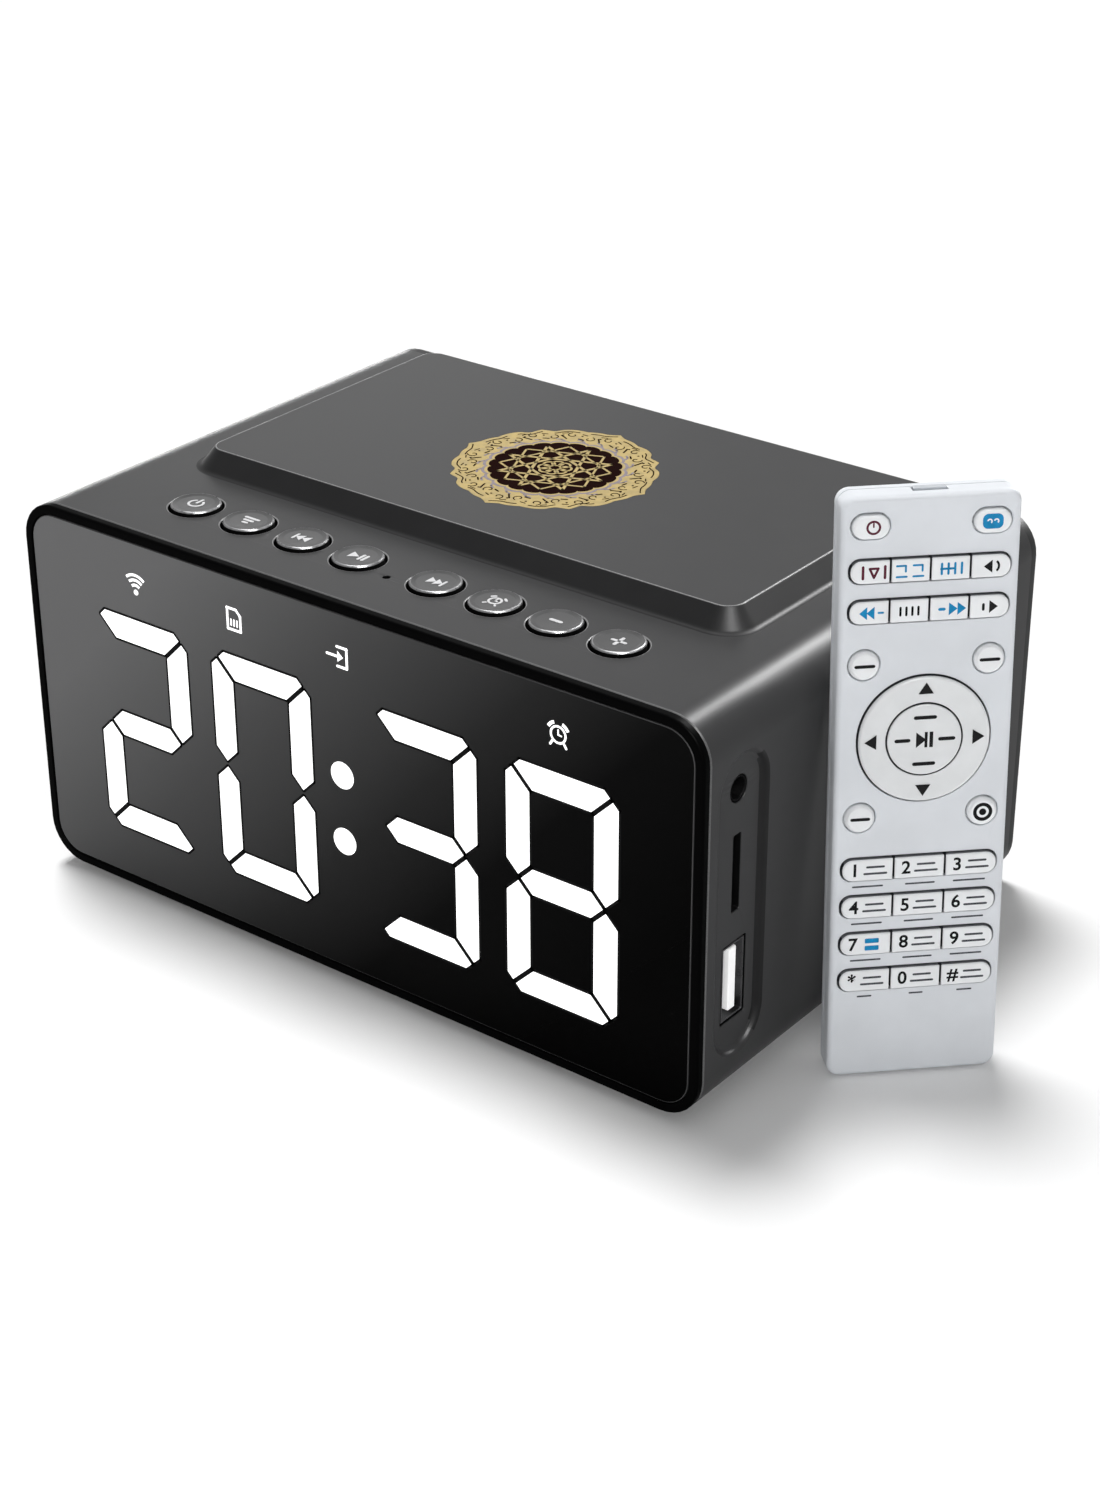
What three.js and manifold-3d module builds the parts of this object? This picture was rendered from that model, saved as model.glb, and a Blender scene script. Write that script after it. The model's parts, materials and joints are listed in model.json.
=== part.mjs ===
// A bedside speaker with a clock display, and the slim remote control that stands beside it.
// Millimetres, +Z up. The speaker's front looks along -Y, and +X is on its right as seen from the front.
// In the speaker's own group x = 0 is its middle, y = 0 the bezel's front and z = 0 the cabinet's underside.
import * as THREE from "three";
import { mergeVertices } from "three/addons/utils/BufferGeometryUtils.js";
import Module from "manifold-3d";

const wasm = await Module();
wasm.setup();

// Driving dimensions of the cabinet
const cabinetWidth = 140;
const cabinetHeight = 68.3;
const speakerDepth = 96.3;
const cabinetWall = 2.2;
const cabinetCorner = 7;
const bezelProud = 1.5;
const bezelBand = 1.6;
const seatGap = 0.15;
const freeGap = 0.3;
const cutOverrun = 1;

// The raised pad on top, measured at its upper edge
const padSideMargin = 15.5;
const padFront = 29.2;
const padRearMargin = 7.2;
const padRise = 3.5;
const padSlope = 2.8;
const padCorner = 3;
const padWall = 2;
const emblemRadius = 18.6;
const emblemForward = 1.6;
const emblemLobeDepth = 1.5;
const emblemThickness = 0.3;
const emblemLobes = 8;
const emblemStepsPerLobe = 8;
const coilBand = 11;
const coilThickness = 1.4;
const shieldThickness = 1;
const shieldRim = 2;
const shieldMargin = 3.35;

// The row of keys on top
const keyRowSetback = 14.8;
const keyRadius = 4.3;
const keyHoleGap = 0.4;
const keyWeb = 2.5;
const keyMiddleWeb = 6.7;
const keysPerSide = 4;
const keyProud = 0.5;
const keyDome = 0.25;
const keyEdge = 0.4;
const keyLip = 0.4;
const keyLipThickness = 0.5;
const keyTravel = 0.6;
const keyStemRadius = 1.3;
const keyStemLength = 1;
const switchPlunger = 0.35;
const switchHeight = 1.5;
const switchWidth = 4;
const keyBoardThickness = 1.2;
const keyBoardWidth = 12;
const keyPostRadius = 2;
const keyPostBack = 3.5;
const microphoneRadius = 2;
const microphoneHoleRadius = 0.65;
const microphoneForward = 2.5;

// The display
const lensThickness = 0.8;
const lensRecess = 0.15;
const bezelLedge = 2.4;
const bezelSkirtDepth = 3.5;
const bezelSkirtWall = 1.9;
const digitSideMargin = 15.25;
const digitBelow = 11.3;
const digitAbove = 15.8;
const digitSpace = 5.8;
const colonSpace = 12.7;
const segmentThickness = 4.5;
const segmentGap = 0.8;
const segmentCut = 2.7;
const guideGap = 0.2;
const guidePlateThickness = 0.8;
const guidePlateMargin = 1.2;
const darkRecess = 0.6;
const colonRadius = 2.4;
const colonSpacing = 12.1;
const markRadius = 1.6;
const markBelowTop = 9.2;
const displayBoardThickness = 1.6;
const lampHeight = 1;

// The port strip on the right side
const portSetback = 10.5;
const portStripHalfWidth = 6;
const portStripLength = 51.6;
const portStripDepth = 1;
const jackRise = 19.75;
const jackHoleRadius = 2.25;
const jackBoreRadius = 1.8;
const jackBodyWidth = 5.7;
const jackBodyDepth = 12;
const jackBoreDepth = 11;
const jackBodyHeight = 6.4;
const cardRise = 5.45;
const cardSlotLength = 13.2;
const cardSlotWidth = 2.1;
const cardSocketDepth = 14;
const cardSocketWall = 0.6;
const cardOpeningWidth = 1.3;
const cardOpeningLength = 12;
const usbDrop = 13.4;
const usbShellHeight = 13.1;
const usbShellWidth = 5.7;
const usbShellWall = 0.3;
const usbShellDepth = 14;
const usbHoleGap = 0.4;
const usbTongueHeight = 11.1;
const usbTongueWidth = 1.84;
const usbTongueForward = 0.9;
const usbBaseDepth = 3;
const usbBaseGap = 0.1;
const usbTongueRecess = 1;

// Boards and power
const boardThickness = 1.6;
const mainBoardLength = 60;
const mainBoardMargin = 6;
const boardRibWidth = 8;
const boardRibDepth = 4;
const chipSize = 9;
const chipHeight = 1.6;
const chipSpacing = 14;
const batteryRadius = 9.2;
const batteryLength = 65;
const batterySetback = 50;
const batteryRibHeight = 8;
const batteryRibWidth = 2;
const inletRadius = 3.6;
const inletBodyRadius = 4.4;
const inletBoreRadius = 2.75;
const inletPinRadius = 1;
const inletFlangeRadius = 5.5;
const inletFlangeThickness = 1.2;
const inletDepth = 10;
const inletBoreDepth = 9;
const inletHeight = 12;

// The rear cover, its screws and the two drivers behind it
const coverThickness = 2.4;
const coverRecess = 0.3;
const screwHeadRadius = 2.5;
const screwHeadHeight = 1.2;
const screwShankRadius = 1.1;
const screwLength = 9;
const screwHoleGap = 0.2;
const screwSlotWidth = 0.8;
const screwEdge = 1.2;
const bossWall = 2;
const bossLength = 14;
const driverSideMargin = 32;
const driverRadius = 20;
const driverFlange = 3;
const driverFlangeThickness = 1.5;
const basketDepth = 11;
const basketWall = 1;
const basketNeckRadius = 9;
const magnetRadius = 11;
const magnetHeight = 8;
const magnetPlate = 3;
const voiceCoilRadius = 5;
const voiceCoilWall = 0.5;
const coilGap = 0.5;
const coneTravel = 0.5;
const coneWall = 0.6;
const coneDepth = 6;
const grilleRadius = 16;
const grilleSlotWidth = 2;
const grilleBar = 2;

// The feet
const footRadius = 5;
const footHeight = 1.5;
const footSideInset = 15;
const footEndInset = 12;

// The remote control, measured from its top edge down its face
const remoteWidth = 27;
const remoteThickness = 6;
const remoteCorner = 2.1;
const remoteWall = 1;
const remoteSplit = 3.4;
const remoteSeam = 0.2;
const remoteEdge = 1;
const frontEdge = 0.5;
const remoteLean = THREE.MathUtils.degToRad(5);
const remoteTurn = THREE.MathUtils.degToRad(45);
const remoteClearance = 0.4;
const remoteSetback = 34.2;
const topKeyDrop = 4.7;
const topKeyInset = 4.4;
const topKeyWidth = 5.6;
const topKeyHeight = 3.7;
const sourceRowDrops = [11.6, 17.9];
const sourceRowKeys = 4;
const upperKeyDrop = 26.3;
const ringDrop = 38.6;
const lowerKeyDrop = 51.1;
const firstNumberDrop = 59.7;
const numberRowPitch = 6.3;
const numberRows = 4;
const numberRowKeys = 3;
const rowKeyHeight = 3.5;
const rowMargin = 1.5;
const rowKeyGroove = 0.3;
const rowCorner = 1.5;
const roundKeyRadius = 2.3;
const ringRadius = 10.1;
const okRadius = 5.7;
const remoteKeyGap = 0.25;
const remoteKeyProud = 0.6;
const remoteKeyTravel = 0.4;
const remoteKeyLip = 0.4;
const remoteKeyLipThickness = 0.5;
const capEdge = 0.3;
const ringRest = 0.1;
const keypadThickness = 0.6;
const keypadRim = 0.4;
const remoteBoardThickness = 0.8;
const cellRadius = 5;
const cellThickness = 2.5;
const cellMargin = 1.7;
const lidMargin = 0.8;
const lidThickness = 0.9;
const lidGap = 0.25;
const windowWidth = 5;
const windowThickness = 1.4;
const windowDepth = 1;
const windowGap = 0.2;
const windowProud = 0.3;

// Steps of the curved surfaces
const cornerSteps = 4;
const slotSteps = 2;
const keySteps = 16;
const driverSteps = 18;
const coilSteps = 24;
const ringSteps = 28;
const smallSteps = 10;

const quarterTurn = Math.PI / 2;
const fullTurn = Math.PI * 2;

// Outlines, all counter-clockwise

function arc(x, y, radius, from, to, steps) {
  return Array.from({ length: steps + 1 }, (_, i) => {
    const angle = from + ((to - from) * i) / steps;
    return new THREE.Vector2(x + radius * Math.cos(angle), y + radius * Math.sin(angle));
  });
}

function circle(x, y, radius, steps) {
  return arc(x, y, radius, 0, fullTurn, steps).slice(0, -1);
}

// A rectangle with round corners, given by its middle and its size.
function rounded(x, y, width, height, radius, steps = cornerSteps) {
  const across = width / 2 - radius;
  const up = height / 2 - radius;
  return [
    ...arc(x + across, y - up, radius, -quarterTurn, 0, steps),
    ...arc(x + across, y + up, radius, 0, quarterTurn, steps),
    ...arc(x - across, y + up, radius, quarterTurn, 2 * quarterTurn, steps),
    ...arc(x - across, y - up, radius, 2 * quarterTurn, 3 * quarterTurn, steps),
  ];
}

function rectangle(x, y, width, height) {
  return [
    new THREE.Vector2(x - width / 2, y - height / 2),
    new THREE.Vector2(x + width / 2, y - height / 2),
    new THREE.Vector2(x + width / 2, y + height / 2),
    new THREE.Vector2(x - width / 2, y + height / 2),
  ];
}

// A slot with round ends; just under half its width keeps the two ends' arcs apart.
function slot(x, y, width, height, steps = slotSteps) {
  const endShare = 0.49;
  return rounded(x, y, width, height, endShare * Math.min(width, height), steps);
}

// Geometries

// An outline in X and Y, raised along Z.
function prism(outline, low, high, holes = []) {
  const shape = new THREE.Shape(outline);
  shape.holes = holes.map((hole) => new THREE.Path(hole));
  const depth = high - low;
  return new THREE.ExtrudeGeometry(shape, { depth, bevelEnabled: false }).translate(0, 0, low);
}

// An outline in X and Z, seen from the front, run back along Y.
function frontPrism(outline, front, back, holes = []) {
  return prism(outline, -back, -front, holes).rotateX(quarterTurn);
}

// An outline in Y and Z, seen from the right side, run along X.
const sideways = new THREE.Matrix4().makeBasis(
  new THREE.Vector3(0, 1, 0),
  new THREE.Vector3(0, 0, 1),
  new THREE.Vector3(1, 0, 0),
);
function sidePrism(outline, left, right, holes = []) {
  return prism(outline, left, right, holes).applyMatrix4(sideways);
}

// A solid through outlines of equally many points at rising levels of Z.
function frustum(levels) {
  const count = levels[0].outline.length;
  const positions = levels.flatMap(({ outline, at }) => outline.flatMap((p) => [p.x, p.y, at]));
  const faces = [];
  for (let level = 0; level + 1 < levels.length; level += 1) {
    for (let i = 0; i < count; i += 1) {
      const a = level * count + i;
      const b = level * count + ((i + 1) % count);
      faces.push(a, b, b + count, a, b + count, a + count);
    }
  }
  const last = (levels.length - 1) * count;
  THREE.ShapeUtils.triangulateShape(levels[0].outline, []).forEach(([a, b, c]) => faces.push(c, b, a));
  THREE.ShapeUtils.triangulateShape(levels.at(-1).outline, []).forEach(([a, b, c]) => {
    faces.push(last + a, last + b, last + c);
  });
  return new THREE.BufferGeometry()
    .setAttribute("position", new THREE.Float32BufferAttribute(positions, 3))
    .setIndex(faces);
}

// A profile of [radius, height] pairs, listed with its solid on the left, turned about the Y axis.
function turned(profile, steps) {
  const points = profile.map(([radius, height]) => new THREE.Vector2(radius, height));
  return new THREE.LatheGeometry(points, steps);
}

// The same about the Z axis.
function turnedUp(profile, steps) {
  return turned(profile, steps).rotateX(quarterTurn);
}

function box(width, depth, height) {
  return new THREE.BoxGeometry(width, depth, height);
}

// Solids that can be joined and cut

function solid(geometry) {
  geometry.deleteAttribute("normal");
  geometry.deleteAttribute("uv");
  const merged = mergeVertices(geometry);
  return new wasm.Manifold(
    new wasm.Mesh({
      numProp: 3,
      vertProperties: merged.attributes.position.array,
      triVerts: new Uint32Array(merged.index.array),
    }),
  );
}

function join(geometries) {
  return geometries.map(solid).reduce((whole, next) => whole.add(next));
}

function geometryOf(shape) {
  const mesh = shape.getMesh();
  return new THREE.BufferGeometry()
    .setAttribute("position", new THREE.BufferAttribute(mesh.vertProperties, 3))
    .setIndex(new THREE.BufferAttribute(mesh.triVerts, 1));
}

const finish = (color, roughness, metalness = 0) =>
  new THREE.MeshStandardMaterial({ color, roughness, metalness, flatShading: true });
const finishes = {
  cabinet: finish(0x4a4a4c, 0.45, 0.3),
  bezel: finish(0x0b0b0c, 0.25),
  lens: finish(0x101012, 0.05),
  key: finish(0x525254, 0.4, 0.3),
  inner: finish(0x1b1b1d, 0.7),
  light: finish(0xffffff, 0.4),
  board: finish(0x1e5a3a, 0.6),
  copper: finish(0xb06a38, 0.4, 0.8),
  ferrite: finish(0x2a2a2c, 0.8),
  gold: finish(0xcdaf69, 0.4, 0.5),
  metal: finish(0xc8c9cb, 0.25, 0.9),
  rubber: finish(0x161616, 0.9),
  cone: finish(0x2b2b2e, 0.8),
  cell: finish(0x2f66a8, 0.5),
  remoteShell: finish(0xcdd3da, 0.4),
  remoteKey: finish(0xebeef2, 0.45),
  remoteWindow: finish(0x2a1420, 0.1),
};
finishes.lens.transparent = true;
finishes.lens.opacity = 0.35;

const speaker = new THREE.Group();

function addTo(group, name, geometry, material) {
  geometry.computeVertexNormals();
  const mesh = new THREE.Mesh(geometry, material);
  mesh.name = name;
  group.add(mesh);
  return mesh;
}

const addPiece = (name, geometry, material) => addTo(speaker, name, geometry, material);

// Places that several pieces share

const cabinetFront = bezelProud;
const cabinetBack = speakerDepth;
const middleHeight = cabinetHeight / 2;
const cavityWidth = cabinetWidth - 2 * cabinetWall;
const cavityHeight = cabinetHeight - 2 * cabinetWall;
const cavityCorner = cabinetCorner - cabinetWall;
const ceiling = cabinetHeight - cabinetWall;
const coverBack = cabinetBack - coverRecess;
const coverFront = coverBack - coverThickness;

const padBack = cabinetBack - padRearMargin;
const padWidth = cabinetWidth - 2 * padSideMargin;
const padLength = padBack - padFront;
const padMiddle = (padFront + padBack) / 2;
const padTop = cabinetHeight + padRise;
const emblemMiddle = padMiddle - emblemForward;
const padCeiling = padTop - padWall;

const keyHoleRadius = keyRadius + keyHoleGap;
const keyPitch = 2 * keyHoleRadius + keyWeb;
const firstKey = keyHoleRadius + keyMiddleWeb / 2;
const keyPlaces = Array.from({ length: keysPerSide }, (_, i) => firstKey + i * keyPitch);
const keyXs = [...keyPlaces.map((x) => -x).reverse(), ...keyPlaces];
const keyLipTop = ceiling - seatGap;
const keyLipBottom = keyLipTop - keyLipThickness;
const keyStemBottom = keyLipBottom - keyStemLength;
const plungerTop = keyStemBottom - keyTravel - freeGap;
const keyBoardTop = plungerTop - switchPlunger - switchHeight;
const keyBoardBottom = keyBoardTop - keyBoardThickness;
const endPostX = keyPlaces.at(-1) + keyHoleRadius + keyLip + freeGap + keyPostRadius;
const keyBoardLength = 2 * (endPostX + keyPostRadius);
const microphoneY = keyRowSetback - microphoneForward;
const keyPosts = [
  [-endPostX, keyRowSetback],
  [0, keyRowSetback + keyPostBack],
  [endPostX, keyRowSetback],
];

const portX = cabinetWidth / 2 - portStripDepth;
const jackHeight = middleHeight + jackRise;
const cardHeight = middleHeight + cardRise;
const usbHeight = middleHeight - usbDrop;
const mainBoardFront = portSetback + usbShellWidth / 2;
const mainBoardBack = mainBoardFront + boardThickness;
const mainBoardRight = cabinetWidth / 2 - cabinetWall - freeGap;
const mainBoardBottom = cabinetWall + mainBoardMargin;
const mainBoardTop = keyBoardBottom - freeGap;

const bossInset = cabinetWall + seatGap + screwEdge + screwHoleGap + screwHeadRadius;
const screwPlaces = [-1, 1].flatMap((side) =>
  [bossInset, cabinetHeight - bossInset].map((z) => [side * (cabinetWidth / 2 - bossInset), z]),
);
const driverX = cabinetWidth / 2 - driverSideMargin;
const driverXs = [-driverX, driverX];
const batteryHeight = cabinetWall + freeGap + batteryRadius;

// The cabinet: a tube along Y with the hollow raised pad on its roof

function padOutline(grow) {
  return rounded(0, padMiddle, padWidth + 2 * grow, padLength + 2 * grow, padCorner + grow);
}

function makeCabinet() {
  const tube = rounded(0, middleHeight, cabinetWidth, cabinetHeight, cabinetCorner);
  const cavity = rounded(0, middleHeight, cavityWidth, cavityHeight, cavityCorner);
  const outside = solid(frontPrism(tube, cabinetFront, cabinetBack));
  const pad = frustum([
    { outline: padOutline(padSlope), at: cabinetHeight - cabinetWall / 2 },
    { outline: padOutline(padSlope), at: cabinetHeight },
    { outline: padOutline(0), at: padTop },
  ]);
  const hollows = join([
    frontPrism(cavity, cabinetFront - cutOverrun, cabinetBack + cutOverrun),
    prism(padOutline(-padWall), ceiling - cutOverrun, padCeiling),
  ]);
  const bossSize = bossInset + screwShankRadius + screwHoleGap + bossWall;
  const bosses = screwPlaces.map(([x, z]) => {
    const outline = rectangle(
      Math.sign(x) * (cabinetWidth / 2 - bossSize / 2),
      z < middleHeight ? bossSize / 2 : cabinetHeight - bossSize / 2,
      bossSize,
      bossSize,
    );
    return frontPrism(outline, coverFront - bossLength, coverFront);
  });
  const posts = keyPosts.map(([x, y]) =>
    prism(circle(x, y, keyPostRadius, smallSteps), keyBoardTop, cabinetHeight - cabinetWall / 2),
  );
  const ribMiddle = (mainBoardFront + mainBoardBack) / 2;
  const ribs = [0, 1].map((end) =>
    box(boardRibWidth, boardRibDepth, mainBoardMargin + cabinetWall / 2).translate(
      mainBoardRight - mainBoardLength / 2 + (end ? 1 : -1) * (mainBoardLength / 4),
      ribMiddle,
      mainBoardBottom - (mainBoardMargin + cabinetWall / 2) / 2,
    ),
  );
  const batteryRibs = [-1, 1].map((side) =>
    box(batteryLength, batteryRibWidth, batteryRibHeight + cabinetWall / 2).translate(
      0,
      batterySetback + side * (batteryRadius + freeGap + batteryRibWidth / 2),
      cabinetWall / 2 + (batteryRibHeight + cabinetWall / 2) / 2,
    ),
  );
  const keyHoles = keyXs.map((x) =>
    prism(
      circle(x, keyRowSetback, keyHoleRadius, keySteps),
      ceiling - cutOverrun,
      cabinetHeight + cutOverrun,
    ),
  );
  const microphoneHole = prism(
    circle(0, microphoneY, microphoneHoleRadius, smallSteps),
    ceiling - cutOverrun,
    cabinetHeight + cutOverrun,
  );
  const strip = sidePrism(
    slot(portSetback, middleHeight, 2 * portStripHalfWidth, portStripLength, cornerSteps),
    portX,
    cabinetWidth / 2 + cutOverrun,
  );
  const portHoles = [
    circle(portSetback, jackHeight, jackHoleRadius, keySteps),
    rectangle(portSetback, cardHeight, cardSlotWidth, cardSlotLength),
    rectangle(portSetback, usbHeight, usbShellWidth + 2 * usbHoleGap, usbShellHeight + 2 * usbHoleGap),
  ].map((outline) =>
    sidePrism(outline, cabinetWidth / 2 - cabinetWall - cutOverrun, cabinetWidth / 2 + cutOverrun),
  );
  const screwHoles = screwPlaces.map(([x, z]) =>
    frontPrism(
      circle(x, z, screwShankRadius + screwHoleGap, smallSteps),
      coverBack - screwHeadHeight - screwLength - cutOverrun,
      coverFront + cutOverrun,
    ),
  );
  const emblemSeat = prism(emblemOutline(seatGap), padTop - emblemThickness, padTop + cutOverrun);
  const body = outside.add(solid(pad)).subtract(hollows);
  const fittings = join([...bosses, ...posts, ...ribs, ...batteryRibs]).intersect(outside);
  const cuts = join([...keyHoles, microphoneHole, strip, ...portHoles, ...screwHoles, emblemSeat]);
  return geometryOf(body.add(fittings).subtract(cuts));
}

addPiece("cabinet", makeCabinet(), finishes.cabinet);

// The bezel: the rim in front of the cabinet, a ledge for the lens and a skirt inside the tube

const lensWidth = cabinetWidth - 2 * bezelBand;
const lensHeight = cabinetHeight - 2 * bezelBand;
const lensCorner = cabinetCorner - bezelBand;
const lensBack = lensRecess + lensThickness;
const skirtWidth = cavityWidth - 2 * seatGap;
const skirtHeight = cavityHeight - 2 * seatGap;
const skirtCorner = cavityCorner - seatGap;
const skirtBack = bezelProud + bezelSkirtDepth;
const windowInset = bezelBand + bezelLedge;

function makeBezel() {
  const rim = rounded(0, middleHeight, cabinetWidth, cabinetHeight, cabinetCorner);
  const seat = rounded(0, middleHeight, lensWidth, lensHeight, lensCorner);
  const opening = rounded(
    0,
    middleHeight,
    cabinetWidth - 2 * windowInset,
    cabinetHeight - 2 * windowInset,
    cabinetCorner - windowInset,
  );
  const skirt = rounded(0, middleHeight, skirtWidth, skirtHeight, skirtCorner);
  const skirtInside = rounded(
    0,
    middleHeight,
    skirtWidth - 2 * bezelSkirtWall,
    skirtHeight - 2 * bezelSkirtWall,
    skirtCorner - bezelSkirtWall,
  );
  const blank = join([frontPrism(rim, 0, bezelProud), frontPrism(skirt, lensBack, skirtBack)]);
  const cuts = join([
    frontPrism(seat, -cutOverrun, lensBack),
    frontPrism(opening, -cutOverrun, skirtBack + cutOverrun),
    frontPrism(skirtInside, bezelProud, skirtBack + cutOverrun),
  ]);
  return geometryOf(blank.subtract(cuts));
}

addPiece("front_bezel", makeBezel(), finishes.bezel);

const lensOutline = rounded(
  0,
  middleHeight,
  lensWidth - 2 * seatGap,
  lensHeight - 2 * seatGap,
  lensCorner - seatGap,
);
addPiece("front_lens", frontPrism(lensOutline, lensRecess, lensBack), finishes.lens);

// The digits. Segments are lettered a to f clockwise from the top, with g in the middle

const digitWidth = (cabinetWidth - 2 * digitSideMargin - colonSpace - 2 * digitSpace) / 4;
const digitHeight = cabinetHeight - digitBelow - digitAbove;
const digitMiddle = digitBelow + digitHeight / 2;
const columnHalf = (digitWidth - segmentThickness) / 2;
const rowStep = (digitHeight - segmentThickness) / 2;
const innerDigit = (colonSpace + digitWidth) / 2;
const outerDigit = innerDigit + digitWidth + digitSpace;
const digits = [
  { name: "hour_tens_light_guide", x: -outerDigit, lit: "abged" },
  { name: "hour_units_light_guide", x: -innerDigit, lit: "abcdef" },
  { name: "minute_tens_light_guide", x: innerDigit, lit: "abgcd" },
  { name: "minute_units_light_guide", x: outerDigit, lit: "abcdefg" },
];
const segments = {
  a: { form: "row", side: 1, level: 1 },
  b: { form: "column", side: 1, level: 1 },
  c: { form: "column", side: 1, level: -1 },
  d: { form: "row", side: 1, level: -1 },
  e: { form: "column", side: -1, level: -1 },
  f: { form: "column", side: -1, level: 1 },
  g: { form: "bar", side: 1, level: 1 },
};

// The outline of one segment: mitred where two meet, cut off at the digit's outer corners,
// pointed at the middle row, and made smaller all round by inset.
function segmentOutline(letter, x, inset) {
  const half = segmentThickness / 2 - inset;
  const gap = segmentGap * Math.SQRT1_2 + inset * Math.SQRT2;
  const cut = segmentCut - inset * (2 - Math.SQRT2);
  const tip = columnHalf + half - cut / 2;
  const forms = {
    row: [
      [-(columnHalf - half - gap), rowStep - half],
      [columnHalf - half - gap, rowStep - half],
      [tip - gap / 2, rowStep + half - cut / 2 + gap / 2],
      [columnHalf + half - cut, rowStep + half],
      [-(columnHalf + half - cut), rowStep + half],
      [-(tip - gap / 2), rowStep + half - cut / 2 + gap / 2],
    ],
    column: [
      [columnHalf, gap],
      [columnHalf + half, gap + half],
      [columnHalf + half, rowStep + half - cut],
      [tip + gap / 2, rowStep + half - cut / 2 - gap / 2],
      [columnHalf - half, rowStep - half - gap],
      [columnHalf - half, gap + half],
    ],
    bar: [
      [-(columnHalf - gap - half), -half],
      [columnHalf - gap - half, -half],
      [columnHalf - gap, 0],
      [columnHalf - gap - half, half],
      [-(columnHalf - gap - half), half],
      [-(columnHalf - gap), 0],
    ],
  };
  const { form, side, level } = segments[letter];
  const points = forms[form].map(([u, v]) => new THREE.Vector2(x + side * u, digitMiddle + level * v));
  return side * level < 0 ? points.reverse() : points;
}

const displayBoardFront = skirtBack;
const maskFront = lensBack + seatGap;
const guideBack = displayBoardFront;
const guidePlateFront = guideBack - guidePlateThickness;
const pocketFront = guidePlateFront - guideGap;
const markHeight = cabinetHeight - markBelowTop;
const markXs = [-outerDigit, -(innerDigit + outerDigit) / 2, 0, outerDigit];
const colonDots = [-1, 1].map((side) => digitMiddle + (side * colonSpacing) / 2);
const colonPlateWidth = 2 * (colonRadius + guidePlateMargin);
const colonPlateHeight = colonSpacing + colonPlateWidth;

const guidePlate = (x, grow) =>
  rectangle(
    x,
    digitMiddle,
    digitWidth + 2 * (guidePlateMargin + grow),
    digitHeight + 2 * (guidePlateMargin + grow),
  );
const colonPlate = (grow) =>
  rectangle(0, digitMiddle, colonPlateWidth + 2 * grow, colonPlateHeight + 2 * grow);

// The mask: black, with a window for each lit segment, a shallow recess for each dark one,
// and pockets behind for the light guides
function makeMask() {
  const inset = bezelSkirtWall + freeGap;
  const outline = rounded(
    0,
    middleHeight,
    skirtWidth - 2 * inset,
    skirtHeight - 2 * inset,
    skirtCorner - inset,
  );
  const cuts = [];
  digits.forEach(({ x, lit }) => {
    Object.keys(segments).forEach((letter) => {
      const depth = lit.includes(letter) ? displayBoardFront - maskFront : darkRecess;
      cuts.push(frontPrism(segmentOutline(letter, x, 0), maskFront - cutOverrun, maskFront + depth));
    });
    cuts.push(frontPrism(guidePlate(x, guideGap), pocketFront, displayBoardFront + cutOverrun));
  });
  colonDots.forEach((z) => {
    cuts.push(frontPrism(circle(0, z, colonRadius, keySteps), maskFront - cutOverrun, displayBoardFront));
  });
  cuts.push(frontPrism(colonPlate(guideGap), pocketFront, displayBoardFront + cutOverrun));
  markXs.forEach((x) => {
    const window = circle(x, markHeight, markRadius, smallSteps);
    cuts.push(frontPrism(window, maskFront - cutOverrun, displayBoardFront + cutOverrun));
  });
  return geometryOf(solid(frontPrism(outline, maskFront, displayBoardFront)).subtract(join(cuts)));
}

addPiece("display_mask", makeMask(), finishes.inner);

// A light guide: a plate on the board with a bar in each lit window
digits.forEach(({ name, x, lit }) => {
  const bars = [...lit].map((letter) =>
    frontPrism(segmentOutline(letter, x, guideGap), maskFront, guidePlateFront + guidePlateThickness / 2),
  );
  const plate = frontPrism(guidePlate(x, 0), guidePlateFront, guideBack);
  addPiece(name, geometryOf(join([plate, ...bars])), finishes.light);
});

const colonBars = colonDots.map((z) =>
  frontPrism(
    circle(0, z, colonRadius - guideGap, keySteps),
    maskFront,
    guidePlateFront + guidePlateThickness / 2,
  ),
);
const colonBase = frontPrism(colonPlate(0), guidePlateFront, guideBack);
addPiece("colon_light_guide", geometryOf(join([colonBase, ...colonBars])), finishes.light);

function makeDisplayBoard() {
  const plate = frontPrism(
    rounded(0, middleHeight, skirtWidth, skirtHeight, skirtCorner),
    displayBoardFront,
    displayBoardFront + displayBoardThickness,
  );
  const lamps = markXs.map((x) =>
    frontPrism(
      circle(x, markHeight, markRadius - guideGap, smallSteps),
      displayBoardFront - lampHeight,
      displayBoardFront + displayBoardThickness / 2,
    ),
  );
  return geometryOf(join([plate, ...lamps]));
}

addPiece("display_board", makeDisplayBoard(), finishes.board);

// The keys on top, each a cap with a lip under the roof and a stem over its switch

const keyNames = ["power", "mode", "previous", "play", "next", "alarm", "volume_down", "volume_up"];
keyXs.forEach((x, i) => {
  const top = cabinetHeight + keyProud;
  const cap = turnedUp(
    [
      [0, keyStemBottom],
      [keyStemRadius, keyStemBottom],
      [keyStemRadius, keyLipBottom],
      [keyHoleRadius + keyLip, keyLipBottom],
      [keyHoleRadius + keyLip, keyLipTop],
      [keyRadius, keyLipTop],
      [keyRadius, top - keyEdge],
      [keyRadius - keyEdge, top],
      [0, top + keyDome],
    ],
    keySteps,
  );
  addPiece("key_" + keyNames[i], cap.translate(x, keyRowSetback, 0), finishes.key);
});

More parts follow.
